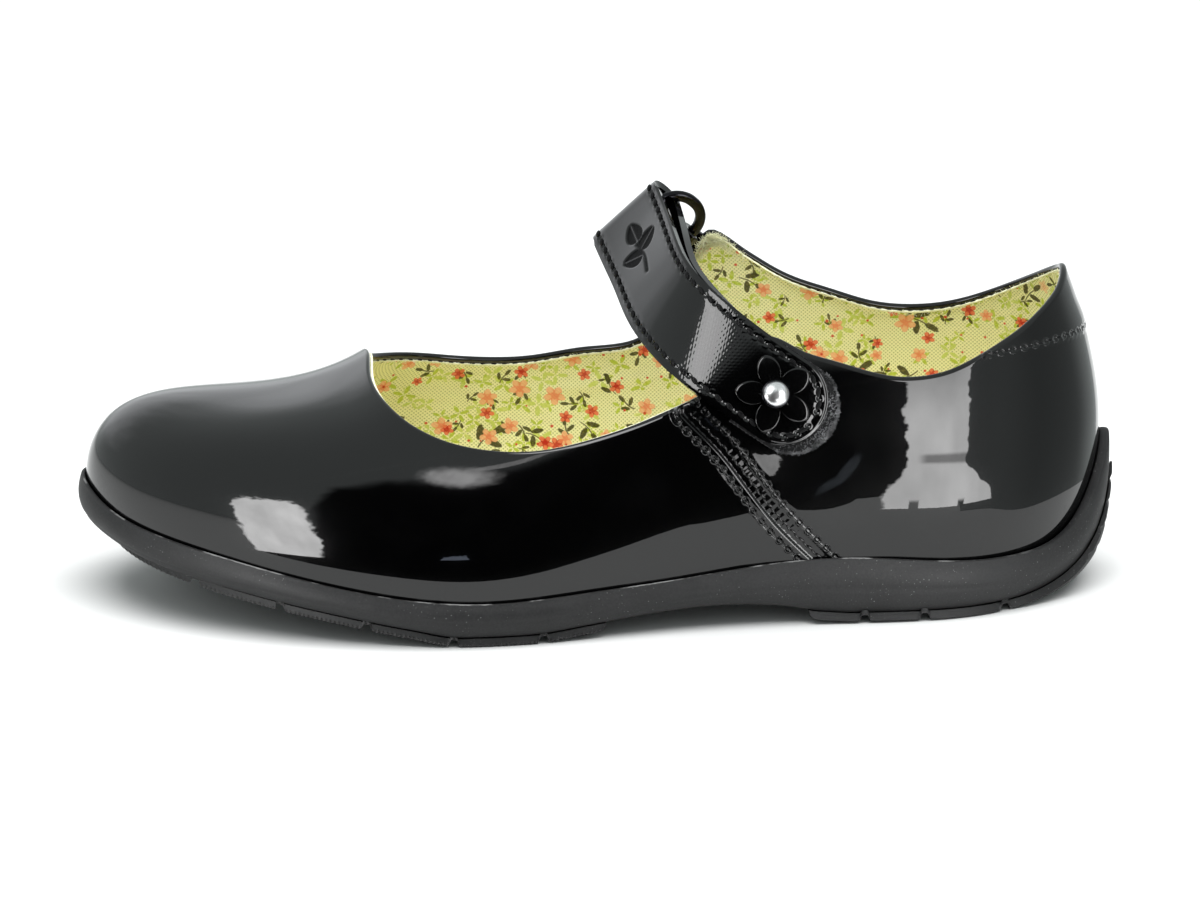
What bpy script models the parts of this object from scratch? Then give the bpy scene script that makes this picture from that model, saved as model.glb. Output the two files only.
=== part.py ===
"""Child's ballet flat with an instep strap: left foot, toe at -X, lateral side at -Y, ground at Z 0.

Every curved piece is read from one last. Control lines run round the foot and a smooth profile
rises from the sole's shelf to the crest at each station. A place on it is (s, w): s is the
percentage of the way round from the toe past the lateral side, w is 0 at the shelf and 1 at the
crest. All sizes below are in millimetres.
"""
import bmesh
import bpy
import numpy as np

MM = 0.001
HEEL = 50.54          # s of the heel's centre
FOREFOOT_END = 25.9   # s at which the forefoot tread ends
HEEL_START = 34.95    # s at which the heel tread begins
STATIONS = (21, 7, 13)    # down each side: forefoot, arch, heel
PLACE = (0.386, 1.158, 0.0)    # brings the origin under the middle of the whole shoe
UPPER_ROWS = 11
WALL = 1.8            # upper and lining together
GAP = 0.3             # clearance between pieces that meet
LIP = 1.9             # thickness of the cup sole's lip
TREAD = 1.6           # tread layers
GROOVE_WIDTH = 1.3
GROOVE_DEPTH = 0.9
INSOLE = 2.6
STRAP = 1.5
STRAP_HALF = 8.6      # half of the strap's width
PATCH = 1.1
FOLD_RADIUS = 2.75    # middle of the strap round the ring's bar
RING_WIRE = 0.85
RING_HALF_LENGTH = 10.3
RING_HALF_DEPTH = 5.3
RING_CORNER = 3.8
CHAPE = 1.1
CHAPE_HALF = 5.6
FLOWER_RADIUS = 7.4
FLOWER_THICK = 0.8
FLOWER_STEPS = 40
FLOWER_FROM_TIP = 10.4    # along the strap
RIVET_RADIUS = 2.4
RIVET_HEIGHT = 1.5
SEAM_THICK = 0.9

# Last, from the toe along the lateral side to the heel and back along the medial side.
# o1 z1, o2 z2, i3 z3 shape the profile: outward (o) or inward (i) of the shelf, and above it.
LAST = (
    # shelf x y z         crest x y z           o1   z1    o2    z2    i3    z3
    (-97.4, 4.0, 15.5,    -44.3, 1.0, 47.4,     4.2, 10.5, -0.4, 36.5, 26.5, 15.5),
    (-94.2, -6.6, 14.6,   -44.1, -4.5, 47.2,    4.0, 10.4, -0.6, 34.8, 25.5, 17.5),
    (-85.6, -17.0, 12.6,  -43.2, -10.0, 46.6,   3.6, 10.2, 0.6, 31.8, 21.0, 21.0),
    (-71.0, -26.3, 9.6,   -40.6, -15.8, 46.0,   3.3, 10.0, 1.8, 28.4, 15.0, 26.0),
    (-55.0, -32.4, 7.2,   -35.8, -20.2, 45.6,   3.1, 10.0, 2.5, 25.0, 9.5, 30.5),
    (-38.5, -35.8, 5.6,   -28.5, -22.2, 45.2,   3.0, 10.0, 2.9, 23.0, 6.0, 33.0),
    (-22.0, -36.2, 5.0,   -18.0, -22.4, 45.8,   3.0, 10.5, 3.1, 22.5, 5.0, 34.5),
    (-4.0, -33.3, 5.7,    -5.0, -21.0, 49.5,    2.7, 11.0, 3.1, 24.0, 4.2, 37.5),
    (14.0, -29.8, 7.2,    9.0, -17.4, 56.0,     2.4, 12.0, 3.1, 26.0, 3.8, 42.0),
    (31.0, -27.7, 8.2,    26.0, -14.5, 62.0,    2.3, 13.0, 3.0, 28.0, 4.0, 46.0),
    (49.0, -26.6, 8.5,    46.5, -13.8, 63.5,    2.2, 13.0, 3.0, 28.5, 4.0, 46.5),
    (66.0, -25.4, 8.5,    65.5, -14.4, 63.0,    2.2, 13.0, 3.4, 28.0, 3.2, 45.5),
    (80.0, -20.6, 8.5,    77.6, -13.0, 64.0,    2.3, 13.0, 4.4, 27.5, 2.0, 45.0),
    (90.4, -11.2, 8.5,    85.6, -7.2, 66.0,     2.4, 12.6, 5.8, 27.5, 0.9, 44.0),
    (94.0, 0.0, 8.5,      88.0, 0.0, 67.0,      2.5, 12.5, 6.4, 27.5, 0.5, 43.5),
    (90.4, 11.2, 8.5,     85.6, 7.2, 66.0,      2.4, 12.6, 5.8, 27.5, 0.9, 44.0),
    (80.0, 20.4, 8.5,     77.6, 13.0, 64.5,     2.3, 13.0, 4.2, 27.5, 2.2, 45.5),
    (66.0, 24.8, 8.5,     65.5, 14.2, 64.0,     2.2, 13.0, 3.0, 28.0, 3.6, 46.5),
    (49.0, 24.6, 8.6,     46.5, 15.6, 65.5,     2.2, 13.0, 2.8, 28.5, 3.6, 48.0),
    (31.0, 22.9, 8.6,     27.0, 18.0, 66.6,     2.3, 13.0, 3.8, 28.0, 1.4, 48.0),
    (14.0, 23.2, 7.6,     11.0, 18.8, 60.0,     2.4, 12.0, 4.8, 26.5, 0.6, 44.0),
    (-4.0, 26.6, 6.0,     -5.0, 19.0, 52.0,     2.7, 11.0, 4.6, 24.0, 2.0, 39.0),
    (-21.0, 31.2, 5.0,    -18.5, 19.8, 46.6,    3.0, 10.5, 4.2, 22.5, 3.2, 35.5),
    (-36.5, 33.7, 5.6,    -29.0, 20.6, 44.6,    3.1, 10.2, 3.6, 22.5, 5.4, 32.5),
    (-52.5, 33.4, 7.0,    -36.2, 19.2, 43.8,    3.2, 10.0, 3.0, 24.0, 9.4, 28.0),
    (-68.5, 30.2, 9.2,    -40.8, 15.6, 44.2,    3.3, 10.0, 2.2, 26.5, 15.0, 22.8),
    (-82.5, 23.6, 12.0,   -43.3, 11.0, 45.2,    3.6, 10.2, 0.9, 30.0, 21.0, 18.6),
    (-93.0, 14.0, 14.3,   -44.2, 6.2, 46.6,     4.1, 10.4, -0.2, 34.4, 25.5, 15.8),
)

# Edge of the upper round the throat and collar.
TOPLINE = (
    # s    w
    (0.0, 1.0), (5.0, 0.99), (9.0, 0.968), (13.0, 0.912), (16.0, 0.838), (18.4, 0.776),
    (20.5, 0.735), (23.0, 0.698), (25.4, 0.682), (27.5, 0.677), (29.2, 0.682), (30.4, 0.69),
    (31.4, 0.715), (32.3, 0.77), (33.3, 0.82), (34.2, 0.81), (35.0, 0.765), (36.2, 0.725),
    (37.4, 0.695), (38.8, 0.672), (40.0, 0.675), (41.0, 0.692), (42.1, 0.725), (43.3, 0.765),
    (44.8, 0.812), (46.5, 0.862), (48.0, 0.895), (49.3, 0.918), (50.5, 0.926), (51.7, 0.912),
    (53.0, 0.886), (54.6, 0.838), (56.9, 0.757), (58.75, 0.705), (60.5, 0.684), (62.2, 0.692),
    (63.9, 0.73), (65.5, 0.77), (66.3, 0.805), (67.0, 0.848), (67.6, 0.895), (68.2, 0.96),
    (68.7, 1.0), (69.3, 0.975), (70.0, 0.90), (70.8, 0.80), (71.6, 0.70), (72.5, 0.652),
    (73.4, 0.65), (75.2, 0.682), (77.8, 0.705),
    (79.8, 0.735), (81.8, 0.775), (84.0, 0.83), (87.0, 0.90), (91.0, 0.955), (95.0, 0.985),
)

# Cup sole: top of the lip, then the side's profile outward of the shelf line, down to its edge.
SOLE = (
    # s     lip_z  edge  out1  out2  z2
    (0.0, 22.8, -5.0, -0.5, 3.2, 15.4),
    (2.5, 20.3, -4.2, -0.2, 3.2, 15.0),
    (5.6, 17.6, -2.6, 0.8, 3.1, 12.5),
    (9.5, 15.0, -1.0, 1.6, 3.0, 10.5),
    (13.5, 11.8, 0.0, 2.2, 3.0, 8.5),
    (17.3, 9.2, 0.6, 2.5, 3.0, 6.5),
    (21.0, 8.2, 0.8, 2.6, 3.0, 5.6),
    (25.2, 9.1, 0.8, 2.6, 3.0, 6.0),
    (29.4, 10.3, 0.4, 2.4, 3.0, 7.0),
    (33.3, 12.2, 0.4, 2.2, 3.0, 8.0),
    (37.4, 12.6, 0.6, 2.2, 3.0, 8.0),
    (41.3, 11.2, 0.4, 2.2, 3.0, 7.0),
    (44.7, 11.2, -1.6, 1.4, 3.4, 7.0),
    (47.9, 17.5, -5.4, 0.2, 5.0, 8.8),
    (50.54, 28.8, -6.8, -0.5, 5.8, 9.5),
    (53.2, 17.5, -5.4, 0.2, 5.0, 8.8),
    (56.4, 11.2, -1.6, 1.4, 3.4, 7.0),
    (59.7, 11.2, 0.4, 2.2, 3.0, 7.0),
    (63.6, 12.6, 0.6, 2.2, 3.0, 8.0),
    (67.7, 12.2, 0.4, 2.2, 3.0, 8.0),
    (71.6, 10.3, 0.4, 2.4, 3.0, 7.0),
    (75.8, 9.1, 0.8, 2.6, 3.0, 6.0),
    (79.8, 8.2, 0.8, 2.6, 3.0, 5.6),
    (83.4, 9.2, 0.6, 2.5, 3.0, 6.5),
    (87.0, 11.8, 0.0, 2.2, 3.0, 8.5),
    (90.7, 15.0, -1.0, 1.6, 3.0, 10.5),
    (94.3, 17.6, -2.6, 0.8, 3.1, 12.5),
    (97.5, 20.3, -4.2, -0.2, 3.2, 15.0),
)

# Underside of the sole unit along the shoe, above the tread layers.
SOLE_BOTTOM = (
    # x     z
    (-98.0, 12.9), (-90.0, 11.6), (-80.0, 10.1), (-65.0, 7.8), (-50.0, 5.5), (-38.0, 3.5),
    (-28.0, 1.9), (-15.0, 1.9), (-4.0, 2.9), (8.0, 4.0), (20.0, 4.6), (32.0, 3.9),
    (41.0, 2.4), (48.0, 1.9), (84.0, 1.9), (94.0, 3.6),
)

# Middle of the strap's upper layer from the ring to the tip, and the direction across it.
STRAP_PATH = (
    # x     y      z       across x y z      lower layer's distance
    (6.3, 12.6, 70.0,      11.9, -1.3, 12.1, 5.5),
    (7.4, 7.0, 67.9,       11.4, -1.3, 12.4, 4.6),
    (8.9, -1.5, 65.0,      10.5, -1.0, 13.5, 3.3),
    (10.6, -10.3, 61.7,    10.0, -0.7, 13.9, 2.4),
    (13.6, -17.9, 58.7,    9.8, 0.5, 14.0,   2.0),
    (17.6, -23.0, 55.6,    10.2, 3.2, 13.7,  1.8),
    (22.1, -25.9, 52.4,    10.8, 4.9, 13.1,  1.8),
    (27.0, -27.3, 48.9,    10.8, 4.7, 12.8,  1.85),
    (32.7, -28.4, 45.0,    11.0, 4.2, 12.4,  1.85),
    (39.9, -29.0, 40.0,    11.2, 4.2, 12.2,  1.85),
)
RING_HANG = (0.56, 0.36, -0.75)     # the way the ring hangs from the fold

# Leg of the loop that holds the ring, down the outside of the medial quarter.
CHAPE_LEG = (
    # s     w      out
    (68.4, 0.72, 1.1),
    (68.9, 0.76, 1.1),
    (69.3, 0.805, 1.1),
    (69.6, 0.84, 1.15),
    (69.9, 0.88, 1.3),
    (70.2, 0.92, 1.5),
)

FOREFOOT_GROOVES = (-78.0, -62.2, -46.0, -29.7, -12.7)
HEEL_GROOVES = (49.0, 60.5, 76.5)

MATERIALS = {
    # name: base colour, roughness
    "patent": ((0.012, 0.012, 0.014), 0.06),
    "rubber": ((0.02, 0.02, 0.022), 0.55),
    "lining": ((0.80, 0.78, 0.50), 0.80),
    "fleece": ((0.015, 0.015, 0.017), 0.95),
    "metal": ((0.80, 0.80, 0.82), 0.12),
    "ring_metal": ((0.10, 0.10, 0.11), 0.18),
}


def spline(knots, rows, period=None):
    """Smooth curve through the rows as a function of the knots, closed when it has a period."""
    x, y = np.asarray(knots, float), np.asarray(rows, float)
    if period is not None:
        x, y = np.append(x, x[0] + period), np.vstack([y, y[:1]])
    n, h = len(x), np.diff(x)
    slope = np.diff(y, axis=0) / h[:, None]
    system, right = np.zeros((n, n)), np.zeros((n, y.shape[1]))
    for i in range(1, n - 1):
        system[i, i - 1:i + 2] = h[i - 1], 2 * (h[i - 1] + h[i]), h[i]
        right[i] = 6 * (slope[i] - slope[i - 1])
    system[0, 0] = system[-1, -1] = 1
    if period is not None:
        system[0, -1] = -1
        system[-1, [0, 1, -2, -1]] = 2 * h[0], h[0], h[-1], 2 * h[-1]
        right[-1] = 6 * (slope[0] - slope[-1])
    bend = np.linalg.solve(system, right)

    def at(q):
        q = np.atleast_1d(np.asarray(q, float))
        q = np.clip(q, x[0], x[-1]) if period is None else x[0] + (q - x[0]) % period
        i = np.clip(np.searchsorted(x, q, side="right") - 1, 0, n - 2)
        before, after, step = (q - x[i])[:, None], (x[i + 1] - q)[:, None], h[i][:, None]
        cubic = (bend[i] * after**3 + bend[i + 1] * before**3) / (6 * step)
        return (cubic + (y[i] / step - bend[i] * step / 6) * after
                + (y[i + 1] / step - bend[i + 1] * step / 6) * before)

    return at


def level(table):
    """Curve through (x, z) rows that keeps flat runs flat."""
    x, z = np.array(table, float).T
    h, slope = np.diff(x), np.diff(z) / np.diff(x)
    rate = np.zeros(len(x))
    same = slope[1:] * slope[:-1] > 0
    first, second = 2 * h[1:] + h[:-1], h[1:] + 2 * h[:-1]
    safe = np.where(same, slope[1:] * slope[:-1], 1)
    mean = (first + second) * safe / (first * slope[1:] + second * slope[:-1] + 1e-12)
    rate[1:-1] = np.where(same, mean, 0)
    rate[0], rate[-1] = slope[0], slope[-1]

    def at(q):
        q = np.clip(np.asarray(q, float), x[0], x[-1])
        i = np.clip(np.searchsorted(x, q, side="right") - 1, 0, len(x) - 2)
        t = (q - x[i]) / h[i]
        return ((1 + 2 * t) * (1 - t)**2 * z[i] + t * (1 - t)**2 * h[i] * rate[i]
                + t * t * (3 - 2 * t) * z[i + 1] + t * t * (t - 1) * h[i] * rate[i + 1])

    return at


LAST_ROWS = np.array(LAST, float)
chords = np.linalg.norm(np.diff(LAST_ROWS[:, :2], axis=0, append=LAST_ROWS[:1, :2]), axis=1)
LAST_KNOTS = np.concatenate([[0], np.cumsum(chords)[:-1]]) / chords.sum() * 100
control = spline(LAST_KNOTS, LAST_ROWS, 100.0)
topline = spline([row[0] for row in TOPLINE], [row[1:] for row in TOPLINE], 100.0)
sole_side = spline([row[0] for row in SOLE], [row[1:] for row in SOLE], 100.0)
sole_bottom = level(SOLE_BOTTOM)


def outward(s):
    """Unit vectors in plan that point away from the foot at the shelf line."""
    run = (control(np.asarray(s) + 0.01) - control(np.asarray(s) - 0.01))[:, :2]
    run /= np.linalg.norm(run, axis=1)[:, None]
    return np.stack([run[:, 1], -run[:, 0], np.zeros(len(run))], axis=1)


def last(s, w):
    """Points of the last's surface."""
    s, w = np.broadcast_arrays(np.atleast_1d(s).astype(float), np.atleast_1d(w).astype(float))
    row, out = control(s), outward(s)
    shelf, crest = row[:, :3], row[:, 3:6]
    inward = (crest - shelf) * (1, 1, 0)
    inward /= np.linalg.norm(inward, axis=1)[:, None]
    up = np.array([0, 0, 1.0])
    one = shelf + out * row[:, 6:7] + up * row[:, 7:8]
    two = shelf + out * row[:, 8:9] + up * row[:, 9:10]
    three = shelf + inward * row[:, 10:11] + up * row[:, 11:12]
    w = w[:, None]
    v = 1 - w
    return v**4 * shelf + 4 * v**3 * w * one + 6 * v * v * w * w * two + 4 * v * w**3 * three + w**4 * crest


def last_normal(s, w):
    s, w = np.broadcast_arrays(np.atleast_1d(s).astype(float), np.atleast_1d(w).astype(float))
    along = last(s + 0.05, w) - last(s - 0.05, w)
    rise = last(s, w + 0.004) - last(s, w - 0.004)
    normal = np.cross(along, rise)
    return normal / np.linalg.norm(normal, axis=1)[:, None]


def w_at(s, z):
    """The w at which the last reaches a height."""
    low, high = np.zeros(len(s)), np.full(len(s), 0.7)
    for _ in range(30):
        middle = (low + high) / 2
        under = last(s, middle)[:, 2] < z
        low, high = np.where(under, middle, low), np.where(under, high, middle)
    return low


RUNS = zip((0.0, FOREFOOT_END, HEEL_START), (FOREFOOT_END, HEEL_START, HEEL), STATIONS)
LATERAL = np.concatenate([np.linspace(a, b, n, endpoint=False) for a, b, n in RUNS] + [[HEEL]])
MEDIAL = 100 - (100 - HEEL) * LATERAL / HEEL
ROUND = np.concatenate([LATERAL, MEDIAL[-2:0:-1]])


class Sheet:
    """Grids of points gathered into one mesh."""

    def __init__(self):
        self.mesh = bmesh.new()

    def grid(self, rows, ring=False, flip=False):
        """Adds rows of points; the faces look along (next column) x (next row)."""
        made = [[self.mesh.verts.new((point + PLACE) * MM) for point in row] for row in rows]
        columns = len(made[0])
        for lower, upper in zip(made[:-1], made[1:]):
            for i in range(columns if ring else columns - 1):
                j = (i + 1) % columns
                corners = [lower[i], lower[j], upper[j], upper[i]]
                self.mesh.faces.new(corners[::-1] if flip else corners)

    def across(self, lateral, medial, steps=6, flip=False, height=None):
        """Adds a deck between two lines of points that run from toe to heel."""
        rows = []
        for t in np.linspace(0, 1, steps):
            row = lateral * (1 - t) + medial * t
            if height is not None and 0 < t < 1:
                row[:, 2] = height(row[:, 0])
            rows.append(row)
        self.grid(rows, flip=flip)

    def finish(self, name, material, shift=0.0, closed=True):
        """Makes the object; an open sheet may first be moved along its normals."""
        bmesh.ops.remove_doubles(self.mesh, verts=self.mesh.verts, dist=2e-6)
        bmesh.ops.dissolve_degenerate(self.mesh, edges=self.mesh.edges, dist=1e-6)
        if closed:
            bmesh.ops.recalc_face_normals(self.mesh, faces=self.mesh.faces)
        self.mesh.normal_update()
        if shift:
            normals = [vert.normal.copy() for vert in self.mesh.verts]
            for vert, normal in zip(self.mesh.verts, normals):
                vert.co += normal * shift * MM
        data = bpy.data.meshes.new(name)
        self.mesh.to_mesh(data)
        self.mesh.free()
        data.materials.append(materials[material])
        made = bpy.data.objects.new(name, data)
        shoe.objects.link(made)
        return made


def thicken(made, thickness, offset):
    shell = made.modifiers.new("Wall", "SOLIDIFY")
    shell.thickness = thickness * MM
    shell.offset = offset
    shell.use_even_offset = False
    return made


def new_material(name, colour, roughness):
    made = bpy.data.materials.new(name)
    made.use_nodes = True
    shader = made.node_tree.nodes["Principled BSDF"]
    shader.inputs["Base Color"].default_value = (*colour, 1)
    shader.inputs["Roughness"].default_value = roughness
    shader.inputs["Metallic"].default_value = 1.0 if "metal" in name else 0.0
    made.diffuse_color = (*colour, 1)
    return made


WALL_STEPS = (0.0, 0.10, 0.24, 0.42, 0.62, 0.82, 1.0)


def bezier(one, two, three, four, t):
    t = np.broadcast_to(t, len(one))[:, None]
    return (1 - t)**3 * one + 3 * (1 - t)**2 * t * two + 3 * (1 - t) * t * t * three + t**3 * four


def sole_wall(s, t):
    """The outside of the cup sole, from its lower edge (t 0) to the lip (t 1)."""
    side, out, shelf = sole_side(s), outward(s), control(s)[:, :3]
    low = shelf + out * side[:, 1:2]
    low[:, 2] = sole_bottom(low[:, 0])
    one = shelf + out * side[:, 2:3]
    one[:, 2] = low[:, 2]
    two = shelf + out * side[:, 3:4]
    two[:, 2] = side[:, 4]
    top = last(s, w_at(s, side[:, 0])) + out * (GAP + LIP)
    return bezier(low, one, two, top, t)


def build_sole():
    """Cup sole: underside, rounded wall, lip, and a shelf that the upper stands on."""
    sheet = Sheet()
    sheet.across(sole_wall(LATERAL, 0.0), sole_wall(MEDIAL, 0.0), flip=True, height=sole_bottom)
    out, shelf = outward(ROUND), control(ROUND)[:, :3]
    lip = w_at(ROUND, sole_side(ROUND)[:, 0])
    rows = [sole_wall(ROUND, t) for t in WALL_STEPS]
    crown = last(ROUND, lip) + out * (GAP + LIP / 2)
    crown[:, 2] += 0.45
    rows.append(crown)
    rows += [last(ROUND, lip * t) + out * GAP for t in (1.0, 0.66, 0.33, 0.0)]
    rows[-1] = shelf + out * GAP - (0, 0, GAP)
    sheet.grid(rows, ring=True)
    ends = [control(side)[:, :3] + outward(side) * GAP - (0, 0, GAP) for side in (LATERAL, MEDIAL)]
    sheet.across(*ends)
    return sheet.finish("sole_unit", "rubber")


def build_tread(name, first, final, climb, grooves):
    """A tread layer under part of the sole, cut across by grooves."""
    sheet = Sheet()
    lateral, medial = LATERAL[first:final + 1], MEDIAL[first:final + 1]
    sheet.across(sole_wall(lateral, 0.0), sole_wall(medial, 0.0), flip=True, height=sole_bottom)
    sheet.grid([sole_wall(lateral, np.minimum(t, climb(lateral))) for t in WALL_STEPS])
    sheet.grid([sole_wall(medial, np.minimum(t, climb(medial))) for t in WALL_STEPS], flip=True)
    pad = thicken(sheet.finish(name, "rubber", shift=GAP, closed=False), TREAD, 1.0)
    for number, x in enumerate(grooves):
        floor = float(sole_bottom(x)) - GAP - TREAD
        cutter = box(f"{name}_groove_{number}", (x, 0, floor), (GROOVE_WIDTH, 120, 2 * GROOVE_DEPTH))
        cut = pad.modifiers.new("Groove", "BOOLEAN")
        cut.solver, cut.operation, cut.object = "EXACT", "DIFFERENCE", cutter
    return pad


def box(name, centre, size):
    mesh = bmesh.new()
    bmesh.ops.create_cube(mesh, size=1.0)
    for vert in mesh.verts:
        vert.co = [(c + p + v * d) * MM for c, p, v, d in zip(centre, PLACE, vert.co, size)]
    data = bpy.data.meshes.new(name)
    mesh.to_mesh(data)
    mesh.free()
    made = bpy.data.objects.new(name, data)
    made.hide_render, made.display_type = True, "WIRE"
    cutters.objects.link(made)
    return made


def build_insole():
    """Padded sock that fills the floor inside the upper."""
    sheet = Sheet()

    def line(side, inset, lift):
        return control(side)[:, :3] - outward(side) * inset + (0, 0, lift)

    low, high = 0.0, INSOLE
    edge = WALL + 0.6
    sheet.across(line(LATERAL, edge, low), line(MEDIAL, edge, low), flip=True)
    levels = ((edge, low), (edge, high - 0.6), (edge + 0.7, high))
    sheet.grid([line(ROUND, inset, lift) for inset, lift in levels], ring=True)
    sheet.across(line(LATERAL, edge + 0.7, high), line(MEDIAL, edge + 0.7, high))
    return sheet.finish("insole", "lining")


def build_upper():
    """Vamp and quarters as one lasted shell, open at the throat, the collar and underneath."""
    sheet = Sheet()
    top = topline(ROUND)[:, 0]
    sheet.grid([last(ROUND, top * t) for t in np.linspace(0, 1, UPPER_ROWS)], ring=True)
    return thicken(sheet.finish("upper", "patent", closed=False), WALL, -1.0)


def build_seam():
    """Raised strip where the lateral quarter laps over the vamp."""
    sheet = Sheet()
    rows = []
    for t in np.linspace(0, 1, 12):
        middle = 30.05 + 4.4 * t**1.15
        w = 0.645 - 0.545 * t
        s = middle + np.linspace(-0.32, 0.32, 4)
        rows.append(last(s, w) + last_normal(s, w) * GAP)
    sheet.grid(rows, flip=True)
    return thicken(sheet.finish("seam_strip", "patent", closed=False), SEAM_THICK, 1.0)


def unit(vector):
    vector = np.asarray(vector, float)
    return vector / np.linalg.norm(vector, axis=-1, keepdims=True)


STRAP_ROWS = np.array(STRAP_PATH, float)
STRAP_KNOTS = np.concatenate([[0], np.cumsum(np.linalg.norm(np.diff(STRAP_ROWS[:, :3], axis=0), axis=1))])
STRAP_LENGTH = STRAP_KNOTS[-1]
strap_line = spline(STRAP_KNOTS, STRAP_ROWS)


def strap_frame(t):
    """Middle, unit run, unit across and outward normal of the upper layer at a distance t."""
    t = np.atleast_1d(np.asarray(t, float))
    inside = np.clip(t, 0.05, STRAP_LENGTH - 0.05)
    row = strap_line(inside)
    run = unit(strap_line(inside + 0.05)[:, :3] - strap_line(inside - 0.05)[:, :3])
    middle = row[:, :3] + run * (t - inside)[:, None]
    across = unit(row[:, 3:6])
    normal = unit(np.cross(run, across))
    return middle, run, unit(np.cross(normal, run)), normal, row[:, 6]


def strap_point(t, b, lift):
    """Points over the upper layer: t along it, b across it, lift above its middle."""
    middle, _, across, normal, _ = strap_frame(t)
    return middle + across * np.asarray(b)[:, None] + normal * lift


def ribbon(name, material, middles, acrosses, halves, thickness, columns=5):
    sheet = Sheet()
    rows = [middle + np.linspace(-1, 1, columns)[:, None] * half * across
            for middle, across, half in zip(middles, acrosses, halves)]
    sheet.grid(rows)
    return thicken(sheet.finish(name, material, closed=False), thickness, 0.0)


def tip_half(t, end, half):
    """Half width of a strip whose last part is rounded."""
    back = np.clip((t - (end - half)) / half, 0, 1)
    return half * np.sqrt(np.maximum(1 - back**2, 0.0016))


def ring_frame():
    """Centre of the fold's bar, and the ring's long, hanging and facing directions."""
    middle, run, across, normal, _ = [value[0] for value in strap_frame([0.0])]
    bar = middle - normal * FOLD_RADIUS
    hang = unit(np.array(RING_HANG) - across * np.dot(RING_HANG, across))
    return bar, across, hang, np.cross(hang, across)


def build_strap():
    """Lower layer from the quarter to the ring, the fold, and the upper layer to its round tip."""
    lap = STRAP_KNOTS[7] + 0.5
    low_t = np.linspace(lap, 0.6, 16)
    middle, _, across, normal, distance = strap_frame(low_t)
    lower = middle - normal * distance[:, None]
    bar, bar_across, _, _ = ring_frame()
    start = strap_frame([0.0])
    turn = np.radians(np.linspace(-80, 80, 9))
    fold = [bar - start[1][0] * FOLD_RADIUS * np.cos(a) + start[3][0] * FOLD_RADIUS * np.sin(a) for a in turn]
    high_t = np.concatenate([np.linspace(0.4, STRAP_LENGTH - STRAP_HALF, 18),
                             STRAP_LENGTH - STRAP_HALF * (1 - np.sin(np.radians(np.arange(12, 91, 13))))])
    upper = strap_frame(high_t)
    middles = np.vstack([lower, fold, upper[0]])
    acrosses = np.vstack([across, np.tile(bar_across, (len(turn), 1)), upper[2]])
    halves = np.concatenate([np.full(len(low_t) + len(turn), STRAP_HALF - 0.4),
                             tip_half(high_t, STRAP_LENGTH, STRAP_HALF)])
    halves[:len(low_t)] = np.interp(low_t, (0, 8), (STRAP_HALF - 0.4, STRAP_HALF))
    return ribbon("strap", "patent", middles, acrosses, halves, STRAP)


def build_patch():
    """Fleece patch on the quarter under the strap's tip."""
    end = STRAP_LENGTH + 2.8
    half = STRAP_HALF + 0.3
    begin = STRAP_KNOTS[7] + 1.4
    t = np.concatenate([np.linspace(begin, end - half, 8),
                        end - half * (1 - np.sin(np.radians(np.arange(12, 91, 13))))])
    middle, _, across, normal, _ = strap_frame(t)
    middle = middle - normal * (STRAP / 2 + GAP + PATCH / 2)
    return ribbon("loop_patch", "fleece", middle, across, tip_half(t, end, half), PATCH)


def build_ring():
    """Rounded oblong ring: the strap folds round one long bar, the chape holds the other."""
    bar, long, hang, _ = ring_frame()
    centre = bar + hang * RING_HALF_DEPTH
    flat, rise = RING_HALF_LENGTH - RING_CORNER, RING_HALF_DEPTH - RING_CORNER
    points = []
    for side, (a, b) in enumerate(((flat, rise), (-flat, rise), (-flat, -rise), (flat, -rise))):
        for turn in np.radians(np.linspace(0, 90, 6) + 90 * side):
            points.append(centre + long * (a + RING_CORNER * np.cos(turn)) + hang * (b + RING_CORNER * np.sin(turn)))
    curve = bpy.data.curves.new("ring", "CURVE")
    curve.dimensions = "3D"
    curve.bevel_depth = RING_WIRE * MM
    curve.bevel_resolution = 2
    line = curve.splines.new("POLY")
    line.points.add(len(points) - 1)
    for knot, point in zip(line.points, points):
        knot.co = (*((point + PLACE) * MM), 1)
    line.use_cyclic_u = True
    curve.materials.append(materials["ring_metal"])
    made = bpy.data.objects.new("ring", curve)
    shoe.objects.link(made)
    return made


def build_chape():
    """Short loop that holds the ring's lower bar to the outside of the medial quarter's tab."""
    bar, long, hang, _ = ring_frame()
    low_bar = bar + hang * 2 * RING_HALF_DEPTH
    radius = RING_WIRE + GAP + CHAPE / 2 + 0.1
    table = np.array(CHAPE_LEG)
    s, w = table[:, 0], table[:, 1]
    normals = last_normal(s, w)
    leg = last(s, w) + normals * table[:, 2:3]
    face = unit(np.cross(long, hang))
    face = face if face[1] > 0 else -face
    turn = np.radians(np.linspace(0, 200, 9))
    loop = [low_bar + radius * (face * np.cos(a) - hang * np.sin(a)) for a in turn]
    middles = np.vstack([leg, loop])
    flat = unit(long - normals * (normals @ long)[:, None])
    acrosses = np.vstack([flat, np.tile(long, (len(loop), 1))])
    halves = np.full(len(middles), CHAPE_HALF)
    return ribbon("ring_tab", "patent", middles, acrosses, halves, CHAPE)


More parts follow.
